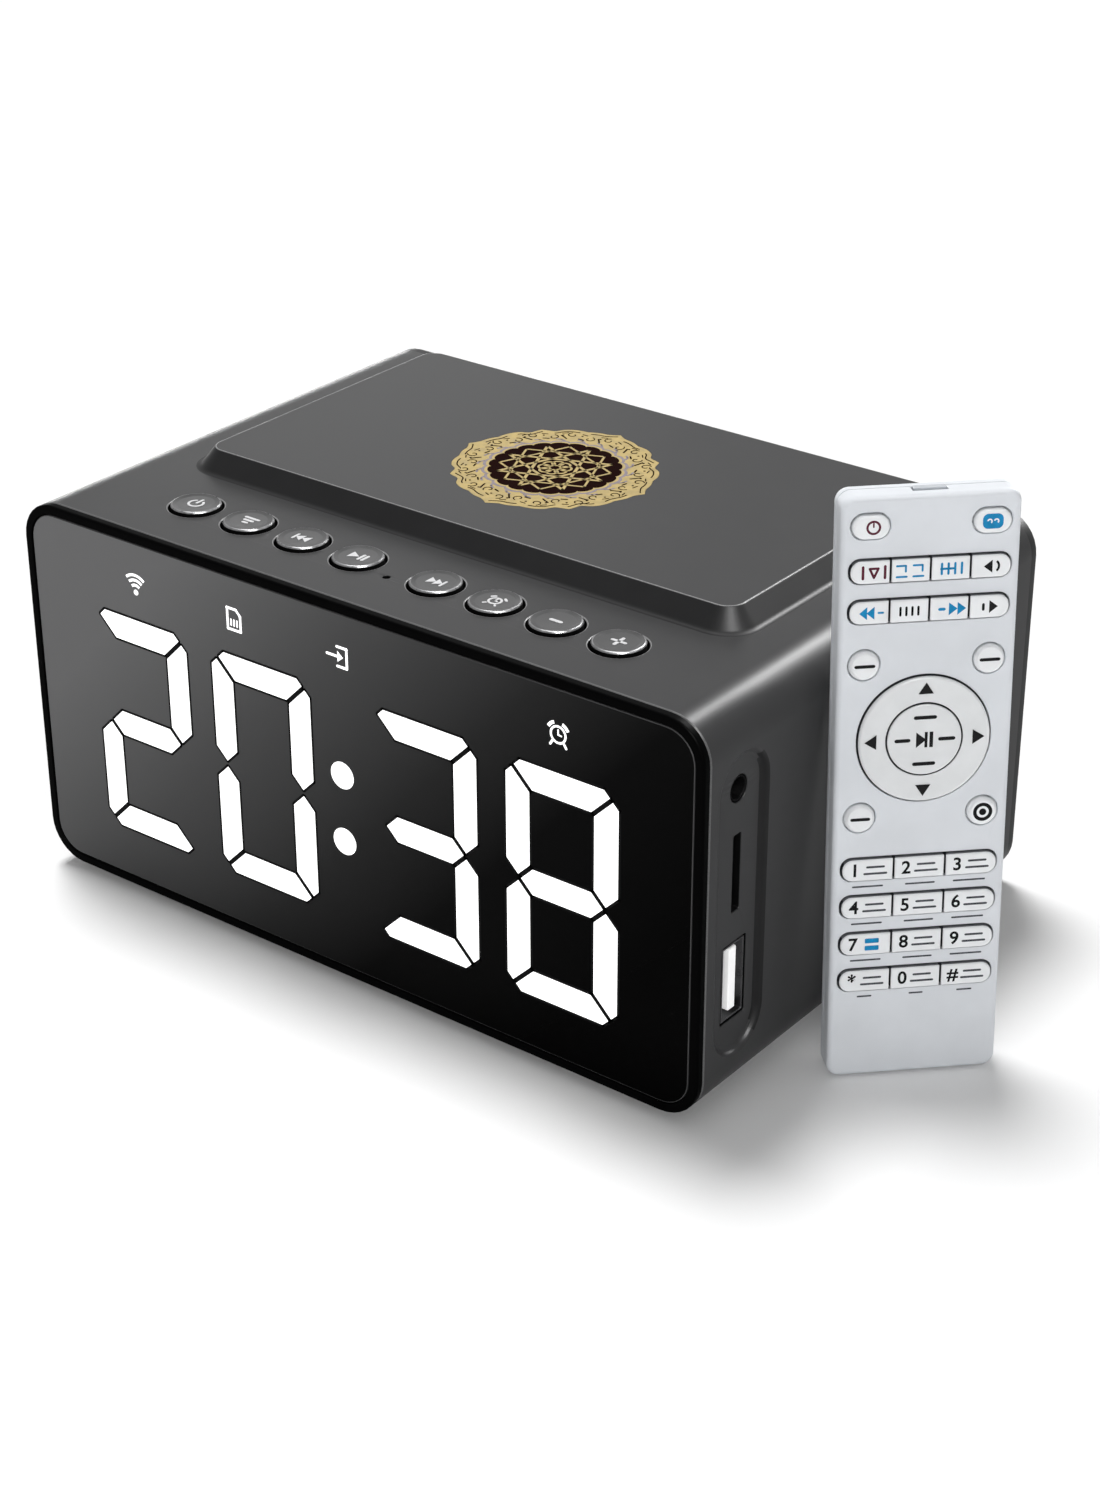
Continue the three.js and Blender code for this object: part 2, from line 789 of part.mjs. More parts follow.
function makeKeyBoard() {
  const plate = prism(
    rectangle(0, keyRowSetback, keyBoardLength, keyBoardWidth),
    keyBoardBottom,
    keyBoardTop,
  );
  const switches = keyXs.flatMap((x) => [
    prism(
      rectangle(x, keyRowSetback, switchWidth, switchWidth),
      keyBoardTop - keyBoardThickness / 2,
      keyBoardTop + switchHeight,
    ),
    prism(circle(x, keyRowSetback, keyStemRadius, smallSteps), keyBoardTop, plungerTop),
  ]);
  return geometryOf(join([plate, ...switches]));
}

addPiece("key_board", makeKeyBoard(), finishes.board);

const microphoneOutline = circle(0, microphoneY, microphoneRadius, smallSteps);
addPiece("microphone", prism(microphoneOutline, keyBoardTop, ceiling - seatGap), finishes.metal);

// The emblem lies flush in the pad: eight lobes that meet in points, on the axes and between them

function emblemOutline(grow) {
  const steps = emblemLobes * emblemStepsPerLobe;
  return Array.from({ length: steps }, (_, i) => {
    const angle = (fullTurn * i) / steps;
    const lobe = emblemLobeDepth * Math.abs(Math.sin((angle * emblemLobes) / 2));
    const radius = emblemRadius + grow - lobe;
    return new THREE.Vector2(radius * Math.cos(angle), emblemMiddle + radius * Math.sin(angle));
  });
}

addPiece("pad_emblem", prism(emblemOutline(0), padTop - emblemThickness, padTop), finishes.gold);

const shieldRadius = padLength / 2 - emblemForward - padWall - shieldMargin;
const coilOuterRadius = shieldRadius - shieldRim;
const coilInnerRadius = coilOuterRadius - coilBand;
const coil = turnedUp(
  [
    [coilInnerRadius, padCeiling - coilThickness],
    [coilOuterRadius, padCeiling - coilThickness],
    [coilOuterRadius, padCeiling],
    [coilInnerRadius, padCeiling],
    [coilInnerRadius, padCeiling - coilThickness],
  ],
  coilSteps,
);
addPiece("charging_coil", coil.translate(0, emblemMiddle, 0), finishes.copper);

const shieldTop = padCeiling - coilThickness;
const shieldOutline = circle(0, emblemMiddle, shieldRadius, coilSteps);
addPiece("coil_shield", prism(shieldOutline, shieldTop - shieldThickness, shieldTop), finishes.ferrite);

// The sockets of the port strip, on the front of the upright main board

const innerWallX = cabinetWidth / 2 - cabinetWall - seatGap;
const portMouthX = portX - seatGap;

function makeAudioSocket() {
  const body = sidePrism(
    rectangle(portSetback, jackHeight, jackBodyWidth, jackBodyHeight),
    innerWallX - jackBodyDepth,
    innerWallX,
  );
  const nose = sidePrism(
    circle(portSetback, jackHeight, jackHoleRadius - seatGap, keySteps),
    innerWallX - seatGap,
    portMouthX,
  );
  const bore = sidePrism(
    circle(portSetback, jackHeight, jackBoreRadius, keySteps),
    innerWallX - jackBoreDepth,
    portMouthX + cutOverrun,
  );
  return geometryOf(join([body, nose]).subtract(solid(bore)));
}

addPiece("audio_socket", makeAudioSocket(), finishes.inner);

function makeCardSocket() {
  const front = portSetback - cardSlotWidth / 2 - cardSocketWall;
  const body = sidePrism(
    rectangle(
      (front + mainBoardFront) / 2,
      cardHeight,
      mainBoardFront - front,
      cardSlotLength + 2 * cardSocketWall,
    ),
    innerWallX - cardSocketDepth,
    innerWallX,
  );
  const opening = sidePrism(
    rectangle(portSetback, cardHeight, cardOpeningWidth, cardOpeningLength),
    innerWallX - cardSocketDepth + cardSocketWall,
    innerWallX + cutOverrun,
  );
  return geometryOf(solid(body).subtract(solid(opening)));
}

addPiece("card_socket", makeCardSocket(), finishes.metal);

const usbBack = portMouthX - usbShellDepth;
const usbShellOutline = rectangle(portSetback, usbHeight, usbShellWidth, usbShellHeight);
const usbShellInside = rectangle(
  portSetback,
  usbHeight,
  usbShellWidth - 2 * usbShellWall,
  usbShellHeight - 2 * usbShellWall,
).reverse();
addPiece(
  "usb_socket",
  sidePrism(usbShellOutline, usbBack, portMouthX, [usbShellInside]),
  finishes.metal,
);

function makeUsbTongue() {
  const base = sidePrism(
    rectangle(
      portSetback,
      usbHeight,
      usbShellWidth - 2 * (usbShellWall + usbBaseGap),
      usbShellHeight - 2 * (usbShellWall + usbBaseGap),
    ),
    usbBack,
    usbBack + usbBaseDepth,
  );
  const tongue = sidePrism(
    rectangle(portSetback - usbTongueForward, usbHeight, usbTongueWidth, usbTongueHeight),
    usbBack + usbBaseDepth / 2,
    portMouthX - usbTongueRecess,
  );
  return geometryOf(join([base, tongue]));
}

addPiece("usb_tongue", makeUsbTongue(), finishes.light);

function makeMainBoard() {
  const middleX = mainBoardRight - mainBoardLength / 2;
  const height = mainBoardTop - mainBoardBottom;
  const middleZ = mainBoardBottom + height / 2;
  const plate = frontPrism(
    rectangle(middleX, middleZ, mainBoardLength, height),
    mainBoardFront,
    mainBoardBack,
  );
  const chips = [-1, 0, 1].map((place) =>
    frontPrism(
      rectangle(middleX, middleZ + place * chipSpacing, chipSize, chipSize),
      mainBoardBack - boardThickness / 2,
      mainBoardBack + chipHeight,
    ),
  );
  return geometryOf(join([plate, ...chips]));
}

addPiece("main_board", makeMainBoard(), finishes.board);

const cell = turned(
  [
    [0, -batteryLength / 2],
    [batteryRadius, -batteryLength / 2],
    [batteryRadius, batteryLength / 2],
    [0, batteryLength / 2],
  ],
  driverSteps,
).rotateZ(quarterTurn);
addPiece("battery_cell", cell.translate(0, batterySetback, batteryHeight), finishes.cell);

// The rear cover and what it carries

function grilleSlots(x) {
  const pitch = grilleSlotWidth + grilleBar;
  const perSide = Math.floor((grilleRadius - grilleSlotWidth) / pitch);
  return Array.from({ length: 2 * perSide + 1 }, (_, i) => {
    const offset = (i - perSide) * pitch;
    const length = 2 * Math.sqrt(grilleRadius ** 2 - offset ** 2);
    return slot(x + offset, middleHeight, grilleSlotWidth, length);
  });
}

function makeRearCover() {
  const outline = rounded(0, middleHeight, skirtWidth, skirtHeight, skirtCorner);
  const through = [
    ...driverXs.flatMap(grilleSlots),
    circle(0, inletHeight, inletRadius + screwHoleGap, keySteps),
    ...screwPlaces.map(([x, z]) => circle(x, z, screwShankRadius + screwHoleGap, smallSteps)),
  ].map((hole) => frontPrism(hole, coverFront - cutOverrun, coverBack + cutOverrun));
  const sinks = screwPlaces.map(([x, z]) =>
    frontPrism(
      circle(x, z, screwHeadRadius + screwHoleGap, keySteps),
      coverBack - screwHeadHeight,
      coverBack + cutOverrun,
    ),
  );
  const plate = solid(frontPrism(outline, coverFront, coverBack));
  return geometryOf(plate.subtract(join([...through, ...sinks])));
}

addPiece("rear_cover", makeRearCover(), finishes.cabinet);

screwPlaces.forEach(([x, z], i) => {
  const seat = coverBack - screwHeadHeight;
  const blank = turned(
    [
      [0, seat - screwLength],
      [screwShankRadius, seat - screwLength],
      [screwShankRadius, seat],
      [screwHeadRadius, seat],
      [screwHeadRadius, coverBack],
      [0, coverBack],
    ],
    keySteps,
  );
  const groove = box(2 * screwHeadRadius + cutOverrun, screwHeadHeight, screwSlotWidth);
  const cut = solid(blank).subtract(solid(groove.translate(0, coverBack, 0)));
  const names = ["left_lower", "left_upper", "right_lower", "right_upper"];
  addPiece("screw_" + names[i], geometryOf(cut).translate(x, 0, z), finishes.metal);
});

const neck = coverFront - basketDepth;
const coilHole = voiceCoilRadius + voiceCoilWall / 2 + coilGap;
const poleRadius = voiceCoilRadius - voiceCoilWall / 2 - coilGap;
const basketInside = driverRadius - driverFlange;
const basketOutside = basketInside + basketWall;
const coneRim = basketInside - freeGap;
const coneRimTop = coverFront - 2 * coneTravel;
const coneNeck = coneRimTop - coneDepth;
const coilFoot = neck - magnetHeight + magnetPlate + 2 * coneTravel + freeGap;
driverXs.forEach((x, i) => {
  const side = ["left", "right"][i];
  const place = (profile) => turned(profile, driverSteps).translate(x, 0, middleHeight);
  const frame = place([
    [coilHole, neck],
    [basketNeckRadius, neck],
    [basketOutside, coneNeck + coneDepth / 2],
    [basketOutside, coverFront - driverFlangeThickness],
    [driverRadius, coverFront - driverFlangeThickness],
    [driverRadius, coverFront],
    [basketInside, coverFront],
    [basketInside, coneNeck + coneDepth / 2 + basketWall / 2],
    [basketNeckRadius, neck + basketWall],
    [coilHole, neck + basketWall],
    [coilHole, neck],
  ]);
  const cone = place([
    [0, coneNeck],
    [voiceCoilRadius - voiceCoilWall / 2, coneNeck],
    [voiceCoilRadius - voiceCoilWall / 2, coilFoot],
    [voiceCoilRadius + voiceCoilWall / 2, coilFoot],
    [voiceCoilRadius + voiceCoilWall / 2, coneNeck - coneWall],
    [coneRim, coneRimTop - coneWall],
    [coneRim, coneRimTop],
    [voiceCoilRadius + coneWall, coneNeck + coneWall],
    [voiceCoilRadius / 2, coneNeck + 2 * coneWall],
    [0, coneNeck + 2 * coneWall + coneWall / 2],
  ]);
  const magnet = place([
    [0, neck - magnetHeight],
    [magnetRadius, neck - magnetHeight],
    [magnetRadius, neck],
    [coilHole, neck],
    [coilHole, neck - magnetHeight + magnetPlate],
    [poleRadius, neck - magnetHeight + magnetPlate],
    [poleRadius, neck],
    [0, neck],
  ]);
  addPiece(side + "_driver_frame", frame, finishes.metal);
  addPiece(side + "_driver_cone", cone, finishes.cone);
  addPiece(side + "_driver_magnet", magnet, finishes.ferrite);
});

const inletMouth = coverBack - seatGap;
const inlet = turned(
  [
    [0, coverFront - inletDepth],
    [inletBodyRadius, coverFront - inletDepth],
    [inletBodyRadius, coverFront - inletFlangeThickness],
    [inletFlangeRadius, coverFront - inletFlangeThickness],
    [inletFlangeRadius, coverFront],
    [inletRadius, coverFront],
    [inletRadius, inletMouth],
    [inletBoreRadius, inletMouth],
    [inletBoreRadius, inletMouth - inletBoreDepth],
    [inletPinRadius, inletMouth - inletBoreDepth],
    [inletPinRadius, inletMouth - inletPinRadius],
    [0, inletMouth - inletPinRadius],
  ],
  keySteps,
);
addPiece("power_inlet", inlet.translate(0, 0, inletHeight), finishes.inner);

const footX = cabinetWidth / 2 - footSideInset;
const footPlaces = {
  foot_front_left: [-footX, cabinetFront + footEndInset],
  foot_front_right: [footX, cabinetFront + footEndInset],
  foot_rear_left: [-footX, cabinetBack - footEndInset],
  foot_rear_right: [footX, cabinetBack - footEndInset],
};
Object.entries(footPlaces).forEach(([name, [x, y]]) => {
  addPiece(name, prism(circle(x, y, footRadius, keySteps), -footHeight, 0), finishes.rubber);
});

// The remote control. In its own group x = 0 is its middle, y = 0 its face and z = 0 its lower end

const remote = new THREE.Group();
const addRemotePiece = (name, geometry, material) => addTo(remote, name, geometry, material);

const cellHeight = remoteWall + remoteEdge + lidMargin + lidGap + cellRadius;
const keypadBottom = cellHeight + cellRadius + cellMargin;
const bareEnd = keypadBottom + rowKeyHeight / 2 + keypadRim;
const lastNumberDrop = firstNumberDrop + (numberRows - 1) * numberRowPitch;
const remoteLength = lastNumberDrop + bareEnd;
const heightOf = (drop) => remoteLength - drop;
const capLipFront = remoteWall + remoteKeyGap;
const capLipBack = capLipFront + remoteKeyLipThickness;
const keypadFront = capLipBack + remoteKeyTravel + freeGap;
const keypadBack = keypadFront + keypadThickness;
const remoteBoardFront = keypadBack + freeGap;
const remoteBoardBack = remoteBoardFront + remoteBoardThickness;
const rearInside = remoteThickness - remoteWall;
const rowWidth = remoteWidth - 2 * rowMargin;
const sideKeyX = remoteWidth / 2 - remoteWall - freeGap - remoteKeyLip - roundKeyRadius;
const topKeyX = remoteWidth / 2 - topKeyInset;
const rows = [
  ...sourceRowDrops.map((drop) => ({ z: heightOf(drop), count: sourceRowKeys })),
  ...Array.from({ length: numberRows }, (_, i) => ({
    z: heightOf(firstNumberDrop + i * numberRowPitch),
    count: numberRowKeys,
  })),
];
const roundKeys = {
  remote_upper_left_key: [-sideKeyX, heightOf(upperKeyDrop)],
  remote_upper_right_key: [sideKeyX, heightOf(upperKeyDrop)],
  remote_lower_left_key: [-sideKeyX, heightOf(lowerKeyDrop)],
  remote_lower_right_key: [sideKeyX, heightOf(lowerKeyDrop)],
};
const topKeys = {
  remote_power_key: [-topKeyX, heightOf(topKeyDrop)],
  remote_source_key: [topKeyX, heightOf(topKeyDrop)],
};
const ringHeight = heightOf(ringDrop);
const topKeyOutline = ([x, z], grow) =>
  slot(x, z, topKeyWidth + 2 * grow, topKeyHeight + 2 * grow, cornerSteps);
const shellOutline = (inset) =>
  rounded(
    0,
    remoteLength / 2,
    remoteWidth - 2 * inset,
    remoteLength - 2 * inset,
    Math.max(remoteCorner - inset, remoteCorner / 4),
  );
const windowY = (remoteWall + remoteSplit) / 2;

function makeRemoteFront() {
  const shell = frustum([
    { outline: shellOutline(0), at: -remoteSplit },
    { outline: shellOutline(0), at: -frontEdge },
    { outline: shellOutline(frontEdge), at: 0 },
  ]).rotateX(quarterTurn);
  const holes = [
    ...rows.map(({ z }) =>
      rounded(
        0,
        z,
        rowWidth + 2 * remoteKeyGap,
        rowKeyHeight + 2 * remoteKeyGap,
        rowCorner + remoteKeyGap,
      ),
    ),
    ...Object.values(topKeys).map((place) => topKeyOutline(place, remoteKeyGap)),
    ...Object.values(roundKeys).map(([x, z]) => circle(x, z, roundKeyRadius + remoteKeyGap, keySteps)),
    circle(0, ringHeight, ringRadius + remoteKeyGap, ringSteps),
  ].map((outline) => frontPrism(outline, -cutOverrun, remoteWall + cutOverrun));
  const inside = frontPrism(shellOutline(remoteWall), remoteWall, remoteSplit + cutOverrun);
  const windowHole = prism(
    rectangle(0, windowY, windowWidth + 2 * windowGap, windowThickness + 2 * windowGap),
    remoteLength - remoteWall - cutOverrun,
    remoteLength + cutOverrun,
  );
  return geometryOf(solid(shell).subtract(join([inside, ...holes, windowHole])));
}

addRemotePiece("remote_front_shell", makeRemoteFront(), finishes.remoteShell);

const lidSize = 2 * (cellRadius + lidMargin);

function makeRemoteRear() {
  const shell = frustum([
    { outline: shellOutline(remoteEdge), at: -remoteThickness },
    { outline: shellOutline(0), at: -(remoteThickness - remoteEdge) },
    { outline: shellOutline(0), at: -(remoteSplit + remoteSeam) },
  ]).rotateX(quarterTurn);
  const inside = frontPrism(shellOutline(remoteWall), remoteSplit - cutOverrun, rearInside);
  const opening = frontPrism(
    rectangle(0, cellHeight, lidSize + 2 * lidGap, lidSize + 2 * lidGap),
    rearInside - cutOverrun,
    remoteThickness + cutOverrun,
  );
  const ribs = [1, 2].map((place) =>
    frontPrism(
      rectangle(0, keypadBottom + (place * (remoteLength - keypadBottom)) / 3, rowWidth / 2, remoteWall),
      remoteBoardBack + freeGap,
      rearInside + remoteWall / 2,
    ),
  );
  return geometryOf(solid(shell).subtract(join([inside, opening])).add(join(ribs)));
}

addRemotePiece("remote_rear_shell", makeRemoteRear(), finishes.remoteShell);

const lidFront = remoteThickness - lidThickness;
addRemotePiece(
  "remote_battery_cover",
  frontPrism(rectangle(0, cellHeight, lidSize, lidSize), lidFront, remoteThickness),
  finishes.remoteShell,
);
const cellBack = lidFront - freeGap;
addRemotePiece(
  "remote_coin_cell",
  frontPrism(circle(0, cellHeight, cellRadius, keySteps), cellBack - cellThickness, cellBack),
  finishes.metal,
);

// The silicone keypad carries the bars of the six rows, cut into keys by grooves
function makeKeypad() {
  const top = heightOf(topKeyDrop - topKeyHeight / 2 - keypadRim);
  const sheet = frontPrism(
    rectangle(
      0,
      (keypadBottom + top) / 2,
      remoteWidth - 2 * (remoteWall + freeGap),
      top - keypadBottom,
    ),
    keypadFront,
    keypadBack,
  );
  const bars = rows.map(({ z }) =>
    frontPrism(
      rounded(0, z, rowWidth, rowKeyHeight, rowCorner),
      -remoteKeyProud,
      keypadFront + keypadThickness / 2,
    ),
  );
  const grooves = rows.flatMap(({ z, count }) =>
    Array.from({ length: count - 1 }, (_, i) =>
      frontPrism(
        rectangle((i + 1 - count / 2) * (rowWidth / count), z, rowKeyGroove, rowKeyHeight + cutOverrun),
        -remoteKeyProud - cutOverrun,
        keypadFront,
      ),
    ),
  );
  return geometryOf(join([sheet, ...bars]).subtract(join(grooves)));
}

addRemotePiece("remote_keypad", makeKeypad(), finishes.remoteKey);

addRemotePiece(
  "remote_board",
  frontPrism(
    rectangle(
      0,
      (keypadBottom + remoteLength - remoteWall - freeGap) / 2,
      remoteWidth - 2 * (remoteWall + freeGap),
      remoteLength - remoteWall - freeGap - keypadBottom,
    ),
    remoteBoardFront,
    remoteBoardBack,
  ),
  finishes.board,
);

addRemotePiece(
  "remote_infrared_window",
  prism(
    rectangle(0, windowY, windowWidth, windowThickness),
    remoteLength - remoteWall - windowDepth,
    remoteLength + windowProud,
  ),
  finishes.remoteWindow,
);

Object.entries(topKeys).forEach(([name, place]) => {
  const cap = frontPrism(topKeyOutline(place, 0), -remoteKeyProud, capLipBack);
  const lip = frontPrism(topKeyOutline(place, remoteKeyLip), capLipFront, capLipBack);
  addRemotePiece(name, geometryOf(join([cap, lip])), finishes.remoteKey);
});

Object.entries(roundKeys).forEach(([name, [x, z]]) => {
  const cap = turned(
    [
      [0, -remoteKeyProud],
      [roundKeyRadius - capEdge, -remoteKeyProud],
      [roundKeyRadius, capEdge - remoteKeyProud],
      [roundKeyRadius, capLipFront],
      [roundKeyRadius + remoteKeyLip, capLipFront],
      [roundKeyRadius + remoteKeyLip, capLipBack],
      [0, capLipBack],
    ],
    keySteps,
  );
  addRemotePiece(name, cap.translate(x, 0, z), finishes.remoteKey);
});

// The direction ring rocks, so its lip stands further back than the other keys' lips
const ringInside = okRadius + remoteKeyGap;
const ringLipFront = capLipFront + remoteKeyTravel;
const ringLipBack = keypadFront - remoteKeyTravel - ringRest;
const ring = turned(
  [
    [ringInside, -remoteKeyProud],
    [ringRadius - capEdge, -remoteKeyProud],
    [ringRadius, capEdge - remoteKeyProud],
    [ringRadius, ringLipFront],
    [ringRadius + remoteKeyLip, ringLipFront],
    [ringRadius + remoteKeyLip, ringLipBack],
    [ringInside, ringLipBack],
    [ringInside, -remoteKeyProud],
  ],
  ringSteps,
);
addRemotePiece("remote_direction_ring", ring.translate(0, 0, ringHeight), finishes.remoteKey);

const okKey = turned(
  [
    [0, -remoteKeyProud],
    [okRadius - capEdge, -remoteKeyProud],
    [okRadius, capEdge - remoteKeyProud],
    [okRadius, capLipBack],
    [0, capLipBack],
  ],
  driverSteps,
);
addRemotePiece("remote_ok_key", okKey.translate(0, 0, ringHeight), finishes.remoteKey);

// The remote stands on its lower end, leans back and turns to the front right, close by the cabinet

const leaning = new THREE.Group();
leaning.rotation.x = -remoteLean;
leaning.add(remote);
const standing = new THREE.Group();
standing.rotation.z = remoteTurn;
standing.add(leaning);
const leanReach =
  (remoteThickness - remoteEdge) * Math.cos(remoteLean) +
  (cabinetHeight - cabinetCorner + footHeight) * Math.tan(remoteLean);
const remoteX =
  cabinetWidth / 2 +
  remoteClearance +
  (remoteWidth / 2) * Math.cos(remoteTurn) +
  leanReach * Math.sin(remoteTurn);
const lift = (remoteThickness - remoteEdge) * Math.sin(remoteLean);
standing.position.set(remoteX, remoteSetback, lift - footHeight);

// The whole set, with its origin under the middle of its box

const set = new THREE.Group();
set.add(speaker, standing);
const bounds = new THREE.Box3().setFromObject(set, true);
const middle = bounds.getCenter(new THREE.Vector3());
set.position.set(-middle.x, -middle.y, -bounds.min.z);

const assembly = new THREE.Group();
assembly.add(set);
assembly.updateMatrixWorld(true);

export default assembly;
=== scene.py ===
import json
from math import atan2, copysign, cos, pi, radians, sin, sqrt, tan

import bmesh
import bpy
from mathutils import Matrix, Vector
from mathutils.geometry import tessellate_polygon


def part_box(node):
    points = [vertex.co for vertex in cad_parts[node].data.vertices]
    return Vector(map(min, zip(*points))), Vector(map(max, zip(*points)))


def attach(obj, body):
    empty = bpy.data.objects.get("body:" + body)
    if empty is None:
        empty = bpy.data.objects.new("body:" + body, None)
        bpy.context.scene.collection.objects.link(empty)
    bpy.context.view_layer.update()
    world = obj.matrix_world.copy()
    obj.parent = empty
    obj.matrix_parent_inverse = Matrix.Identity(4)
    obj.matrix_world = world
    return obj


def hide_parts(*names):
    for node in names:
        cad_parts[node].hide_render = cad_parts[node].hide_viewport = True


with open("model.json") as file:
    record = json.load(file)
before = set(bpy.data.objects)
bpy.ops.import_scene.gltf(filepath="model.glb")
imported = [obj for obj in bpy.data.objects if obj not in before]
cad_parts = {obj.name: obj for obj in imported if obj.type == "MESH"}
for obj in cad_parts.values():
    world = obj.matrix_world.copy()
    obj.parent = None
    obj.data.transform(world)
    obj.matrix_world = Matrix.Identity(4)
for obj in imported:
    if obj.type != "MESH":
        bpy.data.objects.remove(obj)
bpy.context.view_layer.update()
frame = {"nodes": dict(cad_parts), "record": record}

scene = bpy.context.scene
bodies = frame["record"]["behaviour"]["bodies"]
body_of_node = {node: body for body, nodes in bodies.items() for node in nodes}
quarter_turn = pi / 2

# The speaker's frame has x = 0 at its middle, y = 0 at the bezel's front and z = 0 under the cabinet.
# The remote's has x = 0 at its middle, y = 0 at its face and z = 0 at its lower end.
millimetre = 0.001
speaker_corner = Vector((-13.2087, -48.15, 1.5)) * millimetre
remote_corner = Vector((74.1444, -13.95, 0.4358)) * millimetre
remote_turn = Matrix.Rotation(radians(45), 4, "Z") @ Matrix.Rotation(radians(-5), 4, "X")
speaker_space = Matrix.Translation(speaker_corner) @ Matrix.Scale(millimetre, 4)
remote_space = Matrix.Translation(remote_corner) @ remote_turn @ Matrix.Scale(millimetre, 4)

# Camera, at the photograph's viewing angle

camera_place = Vector((0.262601, -0.34989, 0.25855))
camera_azimuth = radians(37.764)
camera_elevation = radians(27.772)
camera_roll = radians(-0.185)
camera_lens = 69.55
sensor_width = 36


def add_object(name, data):
    thing = bpy.data.objects.new(name, data)
    scene.collection.objects.link(thing)
    return thing


def make_camera():
    data = bpy.data.cameras.new("camera")
    data.lens = camera_lens
    data.sensor_width = sensor_width
    data.clip_start = 0.01
    data.clip_end = 30
    camera = add_object("camera", data)
    swing = Matrix.Rotation(camera_azimuth, 4, "Z")
    tilt = Matrix.Rotation(quarter_turn - camera_elevation, 4, "X")
    roll = Matrix.Rotation(camera_roll, 4, "Z")
    camera.matrix_world = Matrix.Translation(camera_place) @ swing @ tilt @ roll
    scene.camera = camera


make_camera()

# Looks

white = (1, 1, 1, 1)


def set_inputs(tree, node, inputs):
    """Links each input to the given output of a node, or sets it to the given value."""
    for key, value in inputs.items():
        if isinstance(value, bpy.types.NodeSocket):
            tree.links.new(value, node.inputs[key])
        else:
            node.inputs[key].default_value = value
    return node


def add_node(tree, kind, inputs):
    return set_inputs(tree, tree.nodes.new("ShaderNode" + kind), inputs)


def noise(tree, coords, scale, detail=3.0):
    return add_node(tree, "TexNoise", {"Scale": scale, "Detail": detail, "Vector": coords}).outputs["Fac"]


def remap(tree, value, low, high, start=0.35, end=0.65):
    inputs = {"From Min": start, "From Max": end, "To Min": low, "To Max": high, "Value": value}
    return add_node(tree, "MapRange", inputs).outputs["Result"]


def combine(tree, operation, first, second):
    node = add_node(tree, "Math", {0: first, 1: second})
    node.operation = operation
    return node.outputs["Value"]


def mix_colours(tree, factor, first, second):
    node = add_node(tree, "Mix", {})
    node.data_type = "RGBA"
    return set_inputs(tree, node, {0: factor, 6: first, 7: second}).outputs[2]


def shade(colour, share):
    return (*(min(1, part * share) for part in colour), 1)


def make_look(name, colour, roughness, metallic=0.0, specular=0.5, mottle=(300, 0.06), grain=(6000, 0.15),
              spread=0.05, wear_and_highlight=0.0, glow=0.0):
    """A moulded or painted surface: mottled colour, uneven gloss, fine grain, and paler edges that are
    partly wear and partly a painted highlight.
    """
    material = bpy.data.materials.new(name)
    material.use_nodes = True
    tree = material.node_tree
    coords = add_node(tree, "TexCoord", {}).outputs["Object"]
    mottle_scale, mottle_share = mottle
    grain_scale, grain_strength = grain
    broad = noise(tree, coords, mottle_scale)
    fine = noise(tree, coords, grain_scale, 2.0)
    dark, light = shade(colour, 1 - mottle_share), shade(colour, 1 + mottle_share)
    mottled = mix_colours(tree, remap(tree, broad, 0, 1), dark, light)
    # Paler edges: partly wear, partly a painted highlight.
    if wear_and_highlight:
        edge = add_node(tree, "Attribute", {})
        edge.attribute_name = "edge"
        worn_and_highlit = combine(tree, "MULTIPLY", edge.outputs["Fac"], remap(tree, fine, 0.5 * wear_and_highlight, wear_and_highlight))
        worn_highlight_colour = (*(part + (1 - part) * 0.3 for part in colour), 1)
        mottled = mix_colours(tree, worn_and_highlit, mottled, worn_highlight_colour)
    bump = {"Strength": grain_strength, "Distance": 0.02 * millimetre, "Height": fine}
    inputs = {
        "Base Color": mottled,
        "Roughness": remap(tree, broad, roughness - spread, roughness + spread),
        "Normal": add_node(tree, "Bump", bump).outputs["Normal"],
        "Metallic": metallic,
        "Specular IOR Level": specular,
    }
    if glow:
        inputs |= {"Emission Color": white, "Emission Strength": glow}
    set_inputs(tree, tree.nodes["Principled BSDF"], inputs)
    return material


